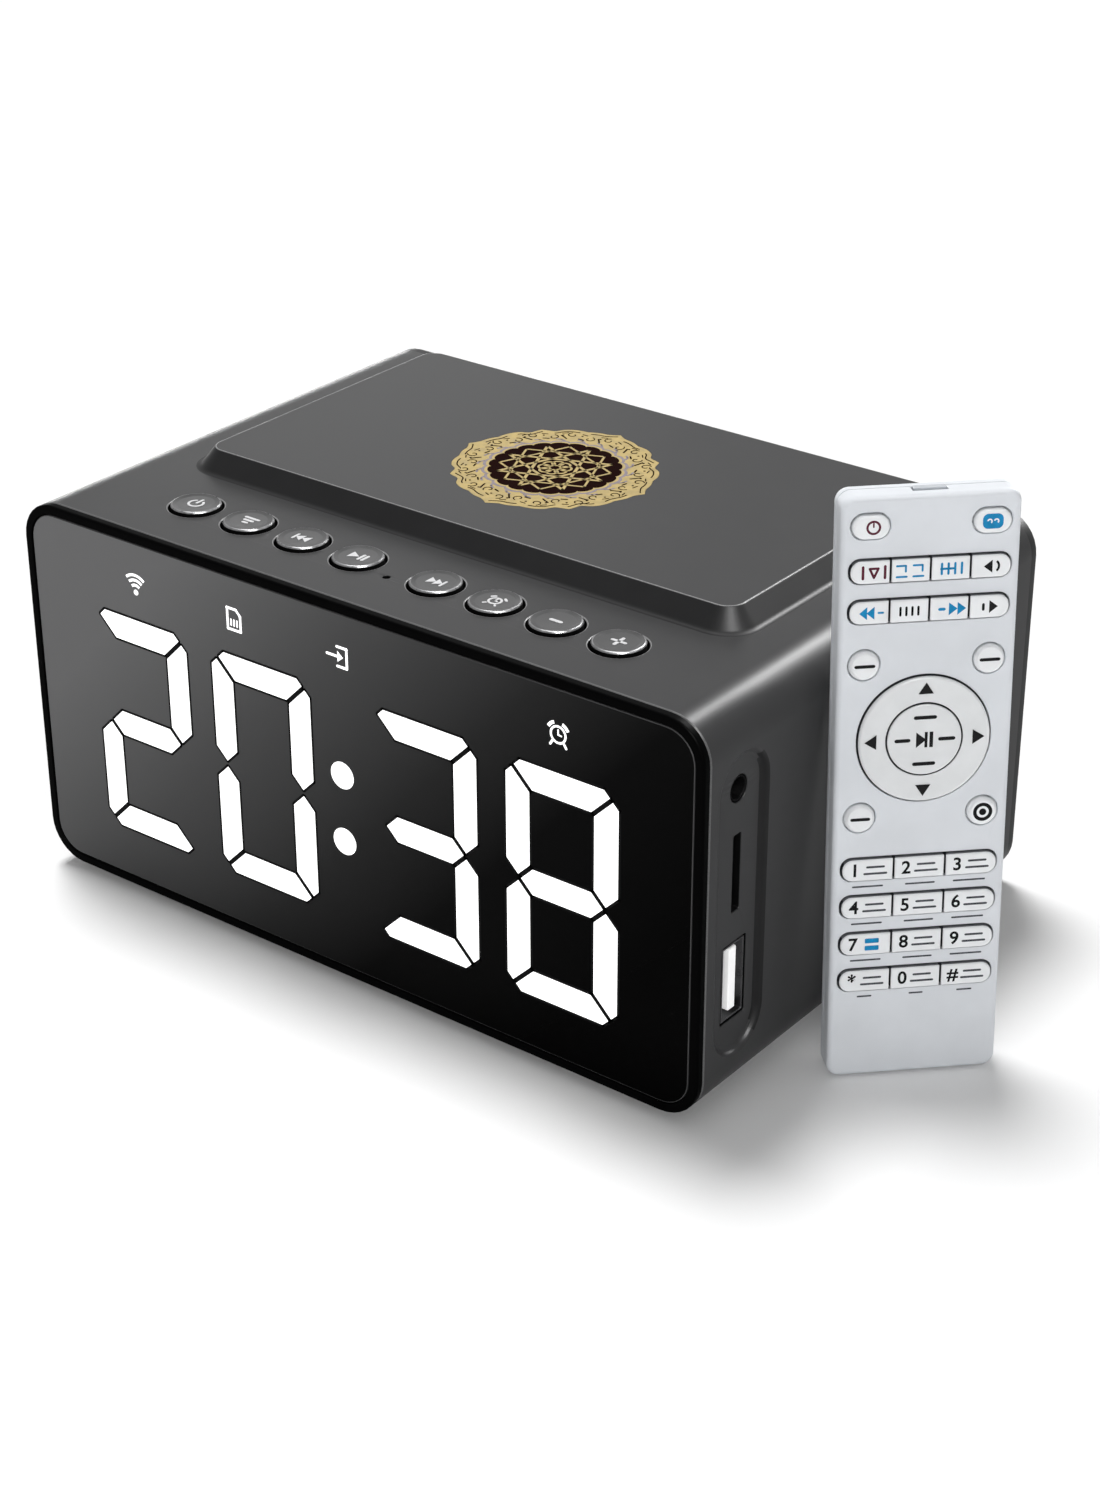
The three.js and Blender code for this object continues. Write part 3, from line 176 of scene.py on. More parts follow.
looks = {
    # Its paler edges are partly wear and partly a painted highlight.
    "cabinet": make_look(
        "cabinet_paint", (0.05, 0.05, 0.051), 0.36, metallic=0.05, specular=0.045, mottle=(150, 0.02),
        grain=(9000, 0.25), spread=0.008, wear_and_highlight=0.9,
    ),
    # Painted shade: a darker copy of the cabinet paint for the pad's slopes, the rear band and the port
    # strip's rear wall.
    "slope": make_look(
        "pad_slope_painted_shade", (0.0145, 0.0145, 0.015), 0.45, metallic=0.05, specular=0.08, mottle=(120, 0.05),
        grain=(9000, 0.2), spread=0.02,
    ),
    "bezel": make_look("bezel_black", (0.0012, 0.0012, 0.0013), 0.4, specular=0.008, grain=(5000, 0.08)),
    "key": make_look(
        "key_paint", (0.066, 0.066, 0.067), 0.34, metallic=0.15, specular=0.1, mottle=(400, 0.05),
        grain=(9000, 0.15),
    ),
    # A lighter, more metallic copy of the key paint for the bevel: a painted highlight.
    "key_bevel_painted_highlight": make_look(
        "key_bevel_painted_highlight", (0.16, 0.16, 0.163), 0.3, metallic=0.6, specular=0.3, mottle=(900, 0.12),
        grain=(9000, 0.1),
    ),
    # Painted shade: the sides of the key caps are black where they stand in shade.
    "key_side": make_look("key_side_painted_shade", (0.001, 0.001, 0.001), 0.7, specular=0.02),
    # The icons glow faintly: painted light that makes the print brighter.
    "icon": make_look("key_icon", (0.6, 0.6, 0.61), 0.4, mottle=(900, 0.05), grain=(9000, 0.05), glow=0.04),
    "lit": make_look(
        "lit_segment", (0.8, 0.8, 0.8), 0.5, specular=0.1, mottle=(80, 0.01), grain=(900, 0.02), glow=0.9,
    ),
    "gold": make_look(
        "emblem_gold", (0.49, 0.37, 0.145), 0.45, specular=0.1, mottle=(700, 0.12), grain=(4000, 0.25),
        spread=0.1,
    ),
    "brown": make_look("emblem_brown", (0.009, 0.0012, 0.0006), 0.6, specular=0.004, mottle=(800, 0.15)),
    "lilac": make_look("emblem_lilac", (0.23, 0.19, 0.21), 0.45, specular=0.2, mottle=(900, 0.15)),
    # Black for the dark parts inside, and painted shade on the cabinet's hole and port walls.
    "inner": make_look("moulded_black_and_painted_shade", (0.0025, 0.0025, 0.0027), 0.5, specular=0.05, grain=(3000, 0.2)),
    "steel": make_look(
        "plated_steel", (0.5, 0.5, 0.51), 0.28, metallic=1.0, mottle=(500, 0.08), grain=(4000, 0.1),
        spread=0.08,
    ),
    "screw": make_look(
        "blackened_screw", (0.05, 0.05, 0.052), 0.32, metallic=0.8, mottle=(900, 0.12), grain=(4000, 0.15),
        spread=0.08,
    ),
    "socket": make_look(
        "socket_steel", (0.07, 0.07, 0.072), 0.35, metallic=1.0, mottle=(500, 0.1), grain=(4000, 0.1),
        spread=0.08,
    ),
    # The USB tongue glows: painted light that keeps it white inside its dark socket.
    "tongue": make_look("socket_white_painted_glow", (0.92, 0.92, 0.92), 0.4, mottle=(500, 0.02), glow=0.3),
    "rubber": make_look(
        "foot_rubber", (0.012, 0.012, 0.012), 0.85, specular=0.2, mottle=(600, 0.15), grain=(2500, 0.5),
    ),
    "board": make_look("board_green", (0.012, 0.09, 0.035), 0.5, mottle=(900, 0.25), grain=(2500, 0.3)),
    "copper": make_look(
        "coil_copper", (0.42, 0.14, 0.045), 0.35, metallic=0.9, mottle=(900, 0.15), grain=(2500, 0.4),
    ),
    "ferrite": make_look("ferrite_grey", (0.022, 0.022, 0.024), 0.7, mottle=(900, 0.2), grain=(2500, 0.4)),
    "cone": make_look("cone_paper", (0.022, 0.022, 0.025), 0.8, mottle=(900, 0.25), grain=(2000, 0.6)),
    "cell": make_look("cell_sleeve", (0.025, 0.12, 0.36), 0.4, mottle=(300, 0.08)),
    "guide": make_look("guide_acrylic", (0.82, 0.82, 0.82), 0.3, mottle=(300, 0.04)),
    "shell": make_look(
        "remote_plastic", (0.73, 0.755, 0.79), 0.45, specular=0.1, mottle=(90, 0.03), grain=(7000, 0.12),
    ),
    "button": make_look(
        "remote_silicone", (0.86, 0.875, 0.89), 0.5, specular=0.15, mottle=(300, 0.02), grain=(7000, 0.12),
    ),
    "ring": make_look(
        "remote_ring", (0.76, 0.775, 0.785), 0.45, specular=0.25, mottle=(200, 0.025), grain=(7000, 0.12),
    ),
    # Painted shade: dark for the sides of keys, mid grey for the long sides of the key rows.
    "gap": make_look("remote_key_side_painted_shade", (0.05, 0.053, 0.06), 0.6, specular=0.05, mottle=(900, 0.1)),
    "edge": make_look("remote_row_side_painted_shade", (0.2, 0.205, 0.22), 0.6, specular=0.05, mottle=(900, 0.1)),
    "window": make_look("infrared_window", (0.5, 0.53, 0.57), 0.15, mottle=(300, 0.06)),
    "ink": make_look("ink_black", (0.003, 0.003, 0.0035), 0.5, specular=0.1, mottle=(900, 0.2)),
    "blue": make_look("ink_blue", (0.0, 0.23, 0.49), 0.5, specular=0.15, mottle=(900, 0.12)),
    "maroon": make_look("ink_maroon", (0.1, 0.008, 0.025), 0.5, specular=0.15, mottle=(900, 0.12)),
    "grey": make_look("ink_grey", (0.06, 0.065, 0.075), 0.5, specular=0.15, mottle=(1500, 0.3)),
    # A lighter copy of the lens for its rounded edge: a painted highlight.
    "lens_edge_painted_highlight": make_look("lens_edge_painted_highlight", (0.04, 0.04, 0.041), 0.2, specular=0.3, mottle=(200, 0.1)),
}


def make_lens_painted_reflection_look():
    """The glossy black panel over the display, with a painted reflection that makes it paler toward its
    upper left.
    """
    material = make_look("smoked_lens_painted_reflection", (0.004, 0.004, 0.0045), 0.08, specular=0.012, mottle=(60, 0.02),
                         grain=(500, 0.005), spread=0.02)
    tree = material.node_tree
    coords = add_node(tree, "TexCoord", {}).outputs["Object"]
    low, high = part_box("front_lens")
    size = high - low
    lean = 0.45
    along = add_node(tree, "VectorMath", {0: coords, 1: (1 / size.x, 0, -lean / size.z)})
    along.operation = "DOT_PRODUCT"
    start = low.x / size.x - lean * high.z / size.z
    place = remap(tree, along.outputs["Value"], 0, 1, start, start + 1 + lean)
    # Painted reflection: the base colour runs from grey at the upper left to black at the lower right.
    painted_reflection_tones = ((0.0, 0.17), (0.17, 0.155), (0.37, 0.075), (0.55, 0.022), (0.67, 0.0035), (0.85, 0.0006))
    ramp = add_node(tree, "ValToRGB", {"Fac": place})
    stops = ramp.color_ramp.elements
    stops.remove(stops[1])
    for i, (position, tone) in enumerate(painted_reflection_tones):
        stop = stops.new(position) if i else stops[0]
        stop.position = position
        stop.color = (tone, tone, tone * 1.01, 1)
    set_inputs(tree, tree.nodes["Principled BSDF"], {"Base Color": ramp.outputs["Color"]})
    return material


looks["lens"] = make_lens_painted_reflection_look()

# Outlines as lists of points in a plane, and where a plane lies

corner_sides = ((1, -1), (1, 1), (-1, 1), (-1, -1))
least_bend = 0.02


def polar(u, v, radius, angle):
    return (u + radius * cos(angle), v + radius * sin(angle))


def block_outline(left, right, low, high, radii, grow=0.0, steps=5):
    """A rectangle larger by grow, with radii for the corners in the order of corner_sides."""
    points = []
    for corner, ((side_u, side_v), radius) in enumerate(zip(corner_sides, radii)):
        bend = max(radius + grow, least_bend)
        u = (right if side_u > 0 else left) + side_u * (grow - bend)
        v = (high if side_v > 0 else low) + side_v * (grow - bend)
        for step in range(steps + 1):
            points.append(polar(u, v, bend, quarter_turn * (corner - 1 + step / steps)))
    return points


def rounded(u, v, width, height, radius, grow=0.0, steps=8):
    """A rounded rectangle about the point (u, v), larger by grow."""
    half_width, half_height = width / 2, height / 2
    sides = (u - half_width, u + half_width, v - half_height, v + half_height)
    return block_outline(*sides, [radius] * 4, grow, steps)


def circle(u, v, radius, steps=48):
    return [polar(u, v, radius, 2 * pi * step / steps) for step in range(steps)]


def rectangle(left, right, low, high):
    return [(right, low), (right, high), (left, high), (left, low)]


def on_top(outline, level):
    return [(u, v, level) for u, v in outline]


def on_front(outline, level):
    return [(u, level, v) for u, v in outline]


def on_side(outline, level):
    return [(level, u, v) for u, v in outline]


def stack(lay, outline, path):
    """One loop for each (grow, level) of a path: the outline, grown and laid at the level."""
    return [lay(outline(grow), level) for grow, level in path]


def stacks(lay, outlines, path):
    """The same for several outlines: a stack for each."""
    return list(zip(*([lay(outline, level) for outline in outlines(grow)] for grow, level in path)))


def softened(points, radii, steps=3):
    """A profile with an arc of the given radius at each of its inner points."""
    path = [Vector(points[0])]
    for before, corner, after, radius in zip(points, points[1:], points[2:], radii):
        corner = Vector(corner)
        if radius == 0:
            path.append(corner)
            continue
        back = (Vector(before) - corner).normalized()
        onward = (Vector(after) - corner).normalized()
        half = back.angle(onward) / 2
        centre = corner + (back + onward).normalized() * (radius / sin(half))
        first = corner + back * (radius / tan(half)) - centre
        last = corner + onward * (radius / tan(half)) - centre
        start = atan2(first.y, first.x)
        sweep = (atan2(last.y, last.x) - start + pi) % (2 * pi) - pi
        for step in range(steps + 1):
            angle = start + sweep * step / steps
            path.append(centre + radius * Vector((cos(angle), sin(angle))))
    path.append(Vector(points[-1]))
    return path


def ringed(points, radii, steps):
    """A closed profile with an arc at each of its points. It ends where it starts."""
    path = softened([points[-1], *points, points[0]], radii, steps)[1:-1]
    return [*path, path[0]]


class Shape:
    """Gathers faces in millimetres, joins them where they meet, and makes one piece of them."""

    def __init__(self, lay=on_top, levels=None):
        """Flat forms lie between the levels, unless a call gives its own."""
        self.lay = lay
        self.levels = levels
        self.points = []
        self.places = {}
        self.faces = []
        self.finishes = []
        self.look = 0
        self.wear_and_highlight = 0.0

    def point(self, place):
        key = tuple(round(part * 2000) for part in place)
        if key not in self.places:
            self.places[key] = len(self.points)
            self.points.append(tuple(place))
        return self.places[key]

    def face(self, corners):
        indices = []
        for corner in corners:
            index = self.point(corner)
            if index not in indices:
                indices.append(index)
        if len(indices) > 2:
            self.faces.append(indices)
            self.finishes.append([self.look, self.wear_and_highlight])

    def strip(self, first, second, skip=()):
        for i in range(len(first)):
            j = (i + 1) % len(first)
            if i not in skip:
                self.face((first[i], first[j], second[j], second[i]))

    def loft(self, loops, worn_and_highlit=(), wear_and_highlight=1.0, look=0):
        """Joins the loops in turn. The strips whose numbers are listed have a paler edge: partly wear,
        partly a painted highlight.
        """
        self.look = look
        for number, (first, second) in enumerate(zip(loops, loops[1:])):
            self.wear_and_highlight = wear_and_highlight if number in worn_and_highlit else 0.0
            self.strip(first, second)
        self.wear_and_highlight = 0.0
        self.look = 0

    def fill(self, outer, holes=()):
        loops = [[Vector(corner) for corner in loop] for loop in (outer, *holes)]
        corners = [corner for loop in loops for corner in loop]
        for triangle in tessellate_polygon(loops):
            self.face([corners[i] for i in triangle])

    def prism(self, outline, levels=None, holes=()):
        low, high = levels or self.levels
        for level in (low, high):
            self.fill(self.lay(outline, level), [self.lay(hole, level) for hole in holes])
        for loop in (outline, *holes):
            self.strip(self.lay(loop, low), self.lay(loop, high))

    def turned(self, u, v, profile, steps=48, look=0):
        """Turns a profile of (radius, level) about the point (u, v)."""
        self.loft(stack(self.lay, lambda radius: circle(u, v, radius, steps), profile), look=look)

    def stepped(self, outline, path):
        """A closed form of the outline along a path of (grow, level)."""
        loops = stack(self.lay, outline, path)
        self.loft(loops)
        self.fill(loops[0])
        self.fill(loops[-1])

    def paint_shade_behind(self, level, soft=False):
        """Gives the faces behind a level the second look, and with soft the third if they run along x:
        painted shade on the sides of keys.
        """
        for number, indices in enumerate(self.faces):
            xs, ys, zs = zip(*(self.points[index] for index in indices))
            if min(ys) >= level:
                self.finishes[number][0] = 2 if soft and max(xs) - min(xs) > 0.25 else 1

    def line(self, points, width, levels=None, closed=False):
        """A drawn line as thin bars with round joints."""
        ends = list(zip(points, points[1:] + points[:1])) if closed else list(zip(points, points[1:]))
        for (u0, v0), (u1, v1) in ends:
            angle = atan2(v1 - v0, u1 - u0)
            outline = []
            for u, v, start in ((u1, v1, angle - quarter_turn), (u0, v0, angle + quarter_turn)):
                outline += [polar(u, v, width / 2, start + pi * step / 4) for step in range(5)]
            self.prism(outline, levels)

    def level_bar(self, u, v, half, width):
        self.line([(u - half, v), (u + half, v)], width)

    def upright_bar(self, u, v, half, width):
        self.line([(u, v - half), (u, v + half)], width)

    def disc(self, u, v, radius, steps=48):
        self.prism(circle(u, v, radius, steps))

    def ring(self, u, v, outer, inner):
        self.prism(circle(u, v, outer), holes=[circle(u, v, inner)])

    def arc(self, u, v, outer, inner, start, end, steps=20):
        """A band of a circle from one angle to the other, in degrees."""
        angles = [radians(start + (end - start) * step / steps) for step in range(steps + 1)]
        outline = [polar(u, v, outer, angle) for angle in angles]
        self.prism(outline + [polar(u, v, inner, angle) for angle in reversed(angles)])

    def piece(self, name, near, materials, slot, replaces=False, crease=38):
        """Makes the piece, which finish_piece then dresses."""
        mesh = bpy.data.meshes.new(name)
        mesh.from_pydata([space_of(near) @ Vector(place) for place in self.points], [], self.faces)
        build = bmesh.new()
        build.from_mesh(mesh)
        build.faces.ensure_lookup_table()
        edge = build.faces.layers.float.new("edge")
        for face, (index, wear_and_highlight) in zip(build.faces, self.finishes):
            face.material_index = index
            face[edge] = wear_and_highlight
        bmesh.ops.recalc_face_normals(build, faces=build.faces)
        build.to_mesh(mesh)
        build.free()
        finish_piece(mesh, name, near, materials, replaces, crease)


def space_of(node):
    return remote_space if node.startswith("remote") else speaker_space


def finish_piece(mesh, name, near, materials, replaces=False, crease=38):
    """The piece rides on the body of the solid that it is near, and may stand in for that solid."""
    for material in materials if isinstance(materials, list) else [materials]:
        mesh.materials.append(looks[material])
    mesh.shade_smooth()
    mesh.set_sharp_from_angle(angle=radians(crease))
    piece = add_object(name, mesh)
    piece.modifiers.new("normals", "WEIGHTED_NORMAL").keep_sharp = True
    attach(piece, body_of_node[near])
    if replaces:
        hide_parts(near)


# The cabinet: a tube with the raised pad on its roof, key holes, and the port strip in its right side

cabinet_width = 140
cabinet_height = 68.3
cabinet_bend = 7
cabinet_front = 1.5
cabinet_back = 96.3
rear_band = 94.3
cabinet_middle = cabinet_height / 2
wall = 2.2
side = cabinet_width / 2
flat_half = side - cabinet_bend
key_xs = (-43.75, -31.85, -19.95, -8.05, 8.05, 19.95, 31.85, 43.75)
key_y = 14.8
key_hole = 4.7
microphone_y = 12.3
microphone_hole = 0.65
pad_top = cabinet_height + 3.5
pad_y = 59.15
pad_width = 109
pad_depth = 59.9
pad_bend = 3
emblem_x = -1.2
emblem_y = 57.45
emblem_radius = 18.7
emblem_depth = 0.3
strip_y = 10.5
strip_x = side - 1
strip_width = 12
strip_height = 51.6
jack_z = 53.9
jack_opening = 2.25
card_z = 39.6
card_opening = (2.1, 13.2, 0.3)
usb_z = 20.75
usb_opening = (6.5, 13.9, 0.4)
usb_back = 54.85
usb_face = 68.55
screw_places = [(x, z) for x in (-63.75, 63.75) for z in (6.25, 62.05)]
boss_levels = (82, 93.6)
post_levels = (62.1, 67)
rib_levels = (1.5, 10)


def case_outline(grow):
    return rounded(0, cabinet_middle, cabinet_width, cabinet_height, cabinet_bend, grow)


def pad_outline(grow):
    return rounded(0, pad_y, pad_width, pad_depth, pad_bend, grow)


def strip_outline(grow):
    return rounded(strip_y, cabinet_middle, strip_width, strip_height, strip_width / 2, grow)


def emblem_outline(grow=0.0, steps=384):
    """Four long tips with a short one half way to the next, and soft lobes between them."""
    points = []
    for step in range(steps):
        angle = 2 * pi * step / steps
        place = (angle / quarter_turn) % 1
        from_long = min(place, 1 - place)
        from_short = 0.5 - from_long
        tips = 1.45 * max(0, 1 - from_long / 0.08) ** 1.6 + 0.9 * max(0, 1 - from_short / 0.07)
        lobe = 0.45 * abs(sin(pi * from_long / 0.2)) if from_long < 0.4 else 0
        notch = 0.4 * min(1, max(0, (from_long - 0.36) / 0.05))
        points.append(spoke(angle, emblem_radius - 1.45 + tips + lobe - notch + grow))
    return points


def spoke(angle, radius):
    return polar(emblem_x, emblem_y, radius, angle)


def port_outlines(grow):
    return [
        circle(strip_y, jack_z, jack_opening + grow),
        rounded(strip_y, card_z, *card_opening, grow, 4),
        rounded(strip_y, usb_z, *usb_opening, grow, 4),
    ]


def make_cabinet():
    shape = Shape()
    right_flat, top_flat = 8, 17
    skip = (right_flat, top_flat)
    front_path = softened([(-wall, cabinet_front), (0, cabinet_front), (0, 20)], [0.4])[:-1]
    front = stack(on_front, case_outline, front_path)
    rear_path = softened([(0, 80), (0, cabinet_back), (-wall, cabinet_back), (-wall, 80)], [0.6, 0.2])[1:-1]
    rear = stack(on_front, case_outline, [(0, rear_band), *rear_path])
    # The front rim's paler edge: partly wear, partly a painted highlight.
    shape.loft(front, worn_and_highlit=(1, 2, 3), wear_and_highlight=0.4)
    # The rear band gets the darker slope paint: painted shade.
    shape.loft(rear, look=1)
    shape.strip(front[-1], rear[0], skip)
    shape.strip(rear[-1], front[0], skip)
    outer_ys = (front[-1][0][1], rear[0][0][1])
    inner_ys = (front[0][0][1], rear[-1][0][1])
    ceiling = cabinet_height - wall

    # Key and microphone holes, with a soft rim and walls that are black as painted shade
    outer_holes = []
    inner_holes = []
    rim = softened([(2, cabinet_height), (0, cabinet_height), (0, ceiling)], [0.25])[1:]
    holes = [(x, key_y, key_hole, 64, 1, (0, 1)) for x in key_xs]
    holes.append((0, microphone_y, microphone_hole, 16, 0.4, ()))
    for x, y, radius, steps, share, worn_and_highlit in holes:
        loops = stack(on_top, lambda grow: circle(x, y, radius + grow * share, steps), rim)
        # The hole rims' paler edge: partly wear, partly a painted highlight.
        shape.loft(loops[:3], worn_and_highlit)
        # Below the rim the hole walls are black: painted shade.
        shape.loft(loops[2:], look=2)
        outer_holes.append(loops[0])
        inner_holes.append(loops[-1])

    # The pad, and the pocket under it for the charging coil
    slope = [(8, cabinet_height), (2.8, cabinet_height), (0, pad_top), (-8, pad_top)]
    base = softened(slope, [1.4, 0], 5)[1:-2]
    crest = softened(slope, [0, 0.45], 4)[2:-1]
    pad = stack(on_top, pad_outline, [*base, *crest])
    seat = [on_top(emblem_outline(0.06), level) for level in (pad_top, pad_top - emblem_depth)]
    # The pad's slopes get the darker slope paint: painted shade.
    shape.loft(pad[:len(base) + 2], look=1)
    # The pad's crest has a paler edge: partly wear, partly a painted highlight.
    shape.loft(pad[len(base) + 1:], worn_and_highlit=(1, 2))
    shape.fill(pad[-1], [seat[0]])
    shape.loft(seat)
    shape.fill(seat[1])
    outer_holes.append(pad[0])
    pocket = [on_top(pad_outline(-2), level) for level in (ceiling, pad_top - 2)]
    shape.loft(pocket)
    shape.fill(pocket[1])
    inner_holes.append(pocket[0])
    for ys, level, holes in ((outer_ys, cabinet_height, outer_holes), (inner_ys, ceiling, inner_holes)):
        shape.fill(on_top(rectangle(-flat_half, flat_half, *ys), level), holes)

    # The port strip, whose wall is darker on its rear side: painted shade
    inside = side - wall
    path = softened([(4, side), (0.3, side), (-0.3, strip_x), (-4, strip_x)], [0.75, 0.75], 6)[1:-1]
    strip = stack(on_side, strip_outline, path)
    first_face = len(shape.faces)
    shape.loft(strip)
    for number in range(first_face, len(shape.faces)):
        if min(shape.points[index][1] for index in shape.faces[number]) > strip_y + 4:
            shape.finishes[number][0] = 1
    port_rim = softened([(1, strip_x), (0, strip_x), (0, inside)], [0.15])[1:]
    ports = stacks(on_side, port_outlines, port_rim)
    for port in ports:
        shape.loft(port[:-1])
        # The port walls are black: painted shade.
        shape.loft(port[-2:], look=2)
    shape.fill(strip[-1], [port[0] for port in ports])
    flat_zs = (cabinet_bend, cabinet_height - cabinet_bend)
    port_ends = [port[-1] for port in ports]
    for ys, level, holes in ((outer_ys, side, [strip[0]]), (inner_ys, inside, port_ends)):
        shape.fill(on_side(rectangle(*ys, *flat_zs), level), holes)

    # Bosses for the rear screws, posts for the key board and ribs that hold the battery cell
    shape.lay = on_front
    for x, z in screw_places:
        left, right = (x - 4, 68.5) if x > 0 else (-68.5, x + 4)
        low, high = (z - 4, 67) if z > cabinet_middle else (1.5, z + 4)
        radii = [
            5.5 if side_x * x > 0 and side_z * (z - cabinet_middle) > 0 else 0.3
            for side_x, side_z in corner_sides
        ]
        shape.prism(block_outline(left, right, low, high, radii), boss_levels, [circle(x, z, 1.3, 16)])
    shape.lay = on_top
    for x, y in ((-51.45, key_y), (0, 18.3), (51.45, key_y)):
        shape.prism(circle(x, y, 2, 24), post_levels)
    for y in (39, 59.7):
        shape.prism(rectangle(-32.5, 32.5, y - 1, y + 1), rib_levels)
    shape.piece("cabinet_shell", "cabinet", ["cabinet", "slope", "inner"], "cabinet", replaces=True)


def make_bezel():
    shape = Shape()
    profile = [(-1.6, 0.95), (-1.6, 0), (0, 0), (0, 1.5), (-2.35, 1.5), (-2.35, 5), (-4, 5), (-4, 0.95)]
    path = ringed(profile, [0, 0.15, 0.45, 0.15, 0, 0, 0.1, 0], 4)
    shape.loft(stack(on_front, case_outline, path))
    shape.piece("bezel_rim", "front_bezel", "bezel", "bezel", replaces=True)


def make_usb_tongue():
    shape = Shape(on_side, (usb_back, usb_back + 3))
    shape.prism(rectangle(strip_y - 2.45, strip_y + 2.45, usb_z - 6.15, usb_z + 6.15))
    end = [(-0.15, usb_face), (0, usb_face - 0.15), (0, usb_back + 1.5)]
    shape.stepped(lambda grow: rounded(strip_y + 0.35, usb_z, 1.84, 11.1, 0.3, grow, 4), end)
    shape.piece("usb_tongue_white", "usb_tongue", "tongue", "light", replaces=True)


make_cabinet()
make_bezel()
make_usb_tongue()

# The display: the panel, the lit segments on it with their dark rims, and the marks above the digits

lens_face = 0.15
panel_form = (136.5, 64.8, 5.25)
lit_levels = (0.1, 0.4)
rim_levels = (0.13, 0.4)
digit_middle = 31.9
column_half = 8.4
row_step = 18.35
segment_half = 2.25
segment_gap = 0.8
segment_cut = 2.7
colon_zs = (25.85, 37.95)
mark_row = 59.1
waves_x = -44.2
card_x = -22.1
clock_x = 43.5
clock_z = 59
digits = ((-44.1, "abged"), (-17, "abcdef"), (17, "abgcd"), (44.1, "abcdefg"))
segment_forms = {
    "a": ("row", 1, 1),
    "b": ("column", 1, 1),
    "c": ("column", 1, -1),
    "d": ("row", 1, -1),
    "e": ("column", -1, -1),
    "f": ("column", -1, 1),
    "g": ("bar", 1, 1),
}


def segment_outline(letter, x):
    """Mitred where two segments meet, cut off at the digit's outer corners, pointed at the middle row."""
    gap = segment_gap * sqrt(0.5)
    inner_column, outer_column = column_half - segment_half, column_half + segment_half
    inner_row, outer_row = row_step - segment_half, row_step + segment_half
    tip, tip_row = outer_column - segment_cut / 2, outer_row - segment_cut / 2
    end, cut = inner_column - gap, outer_column - segment_cut
    forms = {
        "row": [
            (-end, inner_row), (end, inner_row), (tip - gap / 2, tip_row + gap / 2),
            (cut, outer_row), (-cut, outer_row), (-(tip - gap / 2), tip_row + gap / 2),
        ],
        "column": [
            (column_half, gap), (outer_column, gap + segment_half), (outer_column, outer_row - segment_cut),
            (tip + gap / 2, tip_row - gap / 2), (inner_column, inner_row - gap),
            (inner_column, gap + segment_half),
        ],
        "bar": [
            (-end, -segment_half), (end, -segment_half), (column_half - gap, 0),
            (end, segment_half), (-end, segment_half), (-(column_half - gap), 0),
        ],
    }
    form, side_u, side_v = segment_forms[letter]
    return [(x + side_u * u, digit_middle + side_v * v) for u, v in forms[form]]


def make_display():
    panel = Shape()
    profile = softened([(-2, lens_face), (0, lens_face), (0, 0.95), (-2, 0.95)], [0.2, 0.05])[1:-1]
    loops = stack(on_front, lambda grow: rounded(0, cabinet_middle, *panel_form, grow), profile)
    panel.fill(loops[0])
    # The rounded edge gets the lighter look: a painted highlight.
    panel.loft(loops, look=1)
    panel.look = 1
    panel.fill(loops[-1])
    panel.piece("display_panel", "front_lens", ["lens", "lens_edge_painted_highlight"], "lens", replaces=True)
    lit = Shape(on_front, lit_levels)
    rims = Shape(on_front, rim_levels)
    for x, letters in digits:
        for letter in letters:
            lit.prism(segment_outline(letter, x))
            rims.line(segment_outline(letter, x), 0.85, closed=True)
    for z in colon_zs:
        lit.disc(0, z, 2.4)
    lit.piece("display_digits", "front_lens", "lit", "light")
    rims.piece("display_digit_rims", "front_lens", "inner", "lens")

    # Source marks: waves for wireless, a memory card, an arrow for the input; then a clock with two bells
    marks = Shape(on_front, lit_levels)
    z = mark_row
    marks.disc(waves_x, z - 1.35, 0.5, 20)
    for radius in (1.3, 2.2, 3.1):
        marks.arc(waves_x, z - 1.35, radius + 0.24, radius - 0.24, 50, 130)
    card = [(-1.4, -1.85), (1.4, -1.85), (1.4, 0.9), (0.5, 1.85), (-1.4, 1.85)]
    marks.line([(card_x + u, z + v) for u, v in card], 0.45, closed=True)
    for offset in (-0.65, 0.0, 0.65):
        marks.upright_bar(card_x + offset, z - 0.6, 0.5, 0.32)
    marks.line([(-0.1, z + 1.7), (1.9, z + 1.7), (1.9, z - 1.7), (-0.1, z - 1.7)], 0.45)
    marks.level_bar(-1, z, 1.2, 0.45)
    marks.prism([(0, z + 0.95), (0, z - 0.95), (1.15, z)])
    x, z = clock_x, clock_z
    marks.ring(x, z, 1.55, 1.2)
    marks.line([(x, z + 0.8), (x, z), (x + 0.6, z - 0.1)], 0.26)
    for turn in (-1, 1):
        marks.line([(x + turn * 1.1, z - 1.3), (x + turn * 1.5, z - 1.9)], 0.4)
        middle = 90 - turn * 42
        marks.arc(x, z, 2.35, 1.8, middle - 20, middle + 20, 8)
    marks.piece("display_marks", "front_lens", "lit", "light")


make_display()

# The eight keys on the roof, each with a lightly dished face, a bevel made lighter as a painted highlight,
# sides made black as painted shade, and a small icon

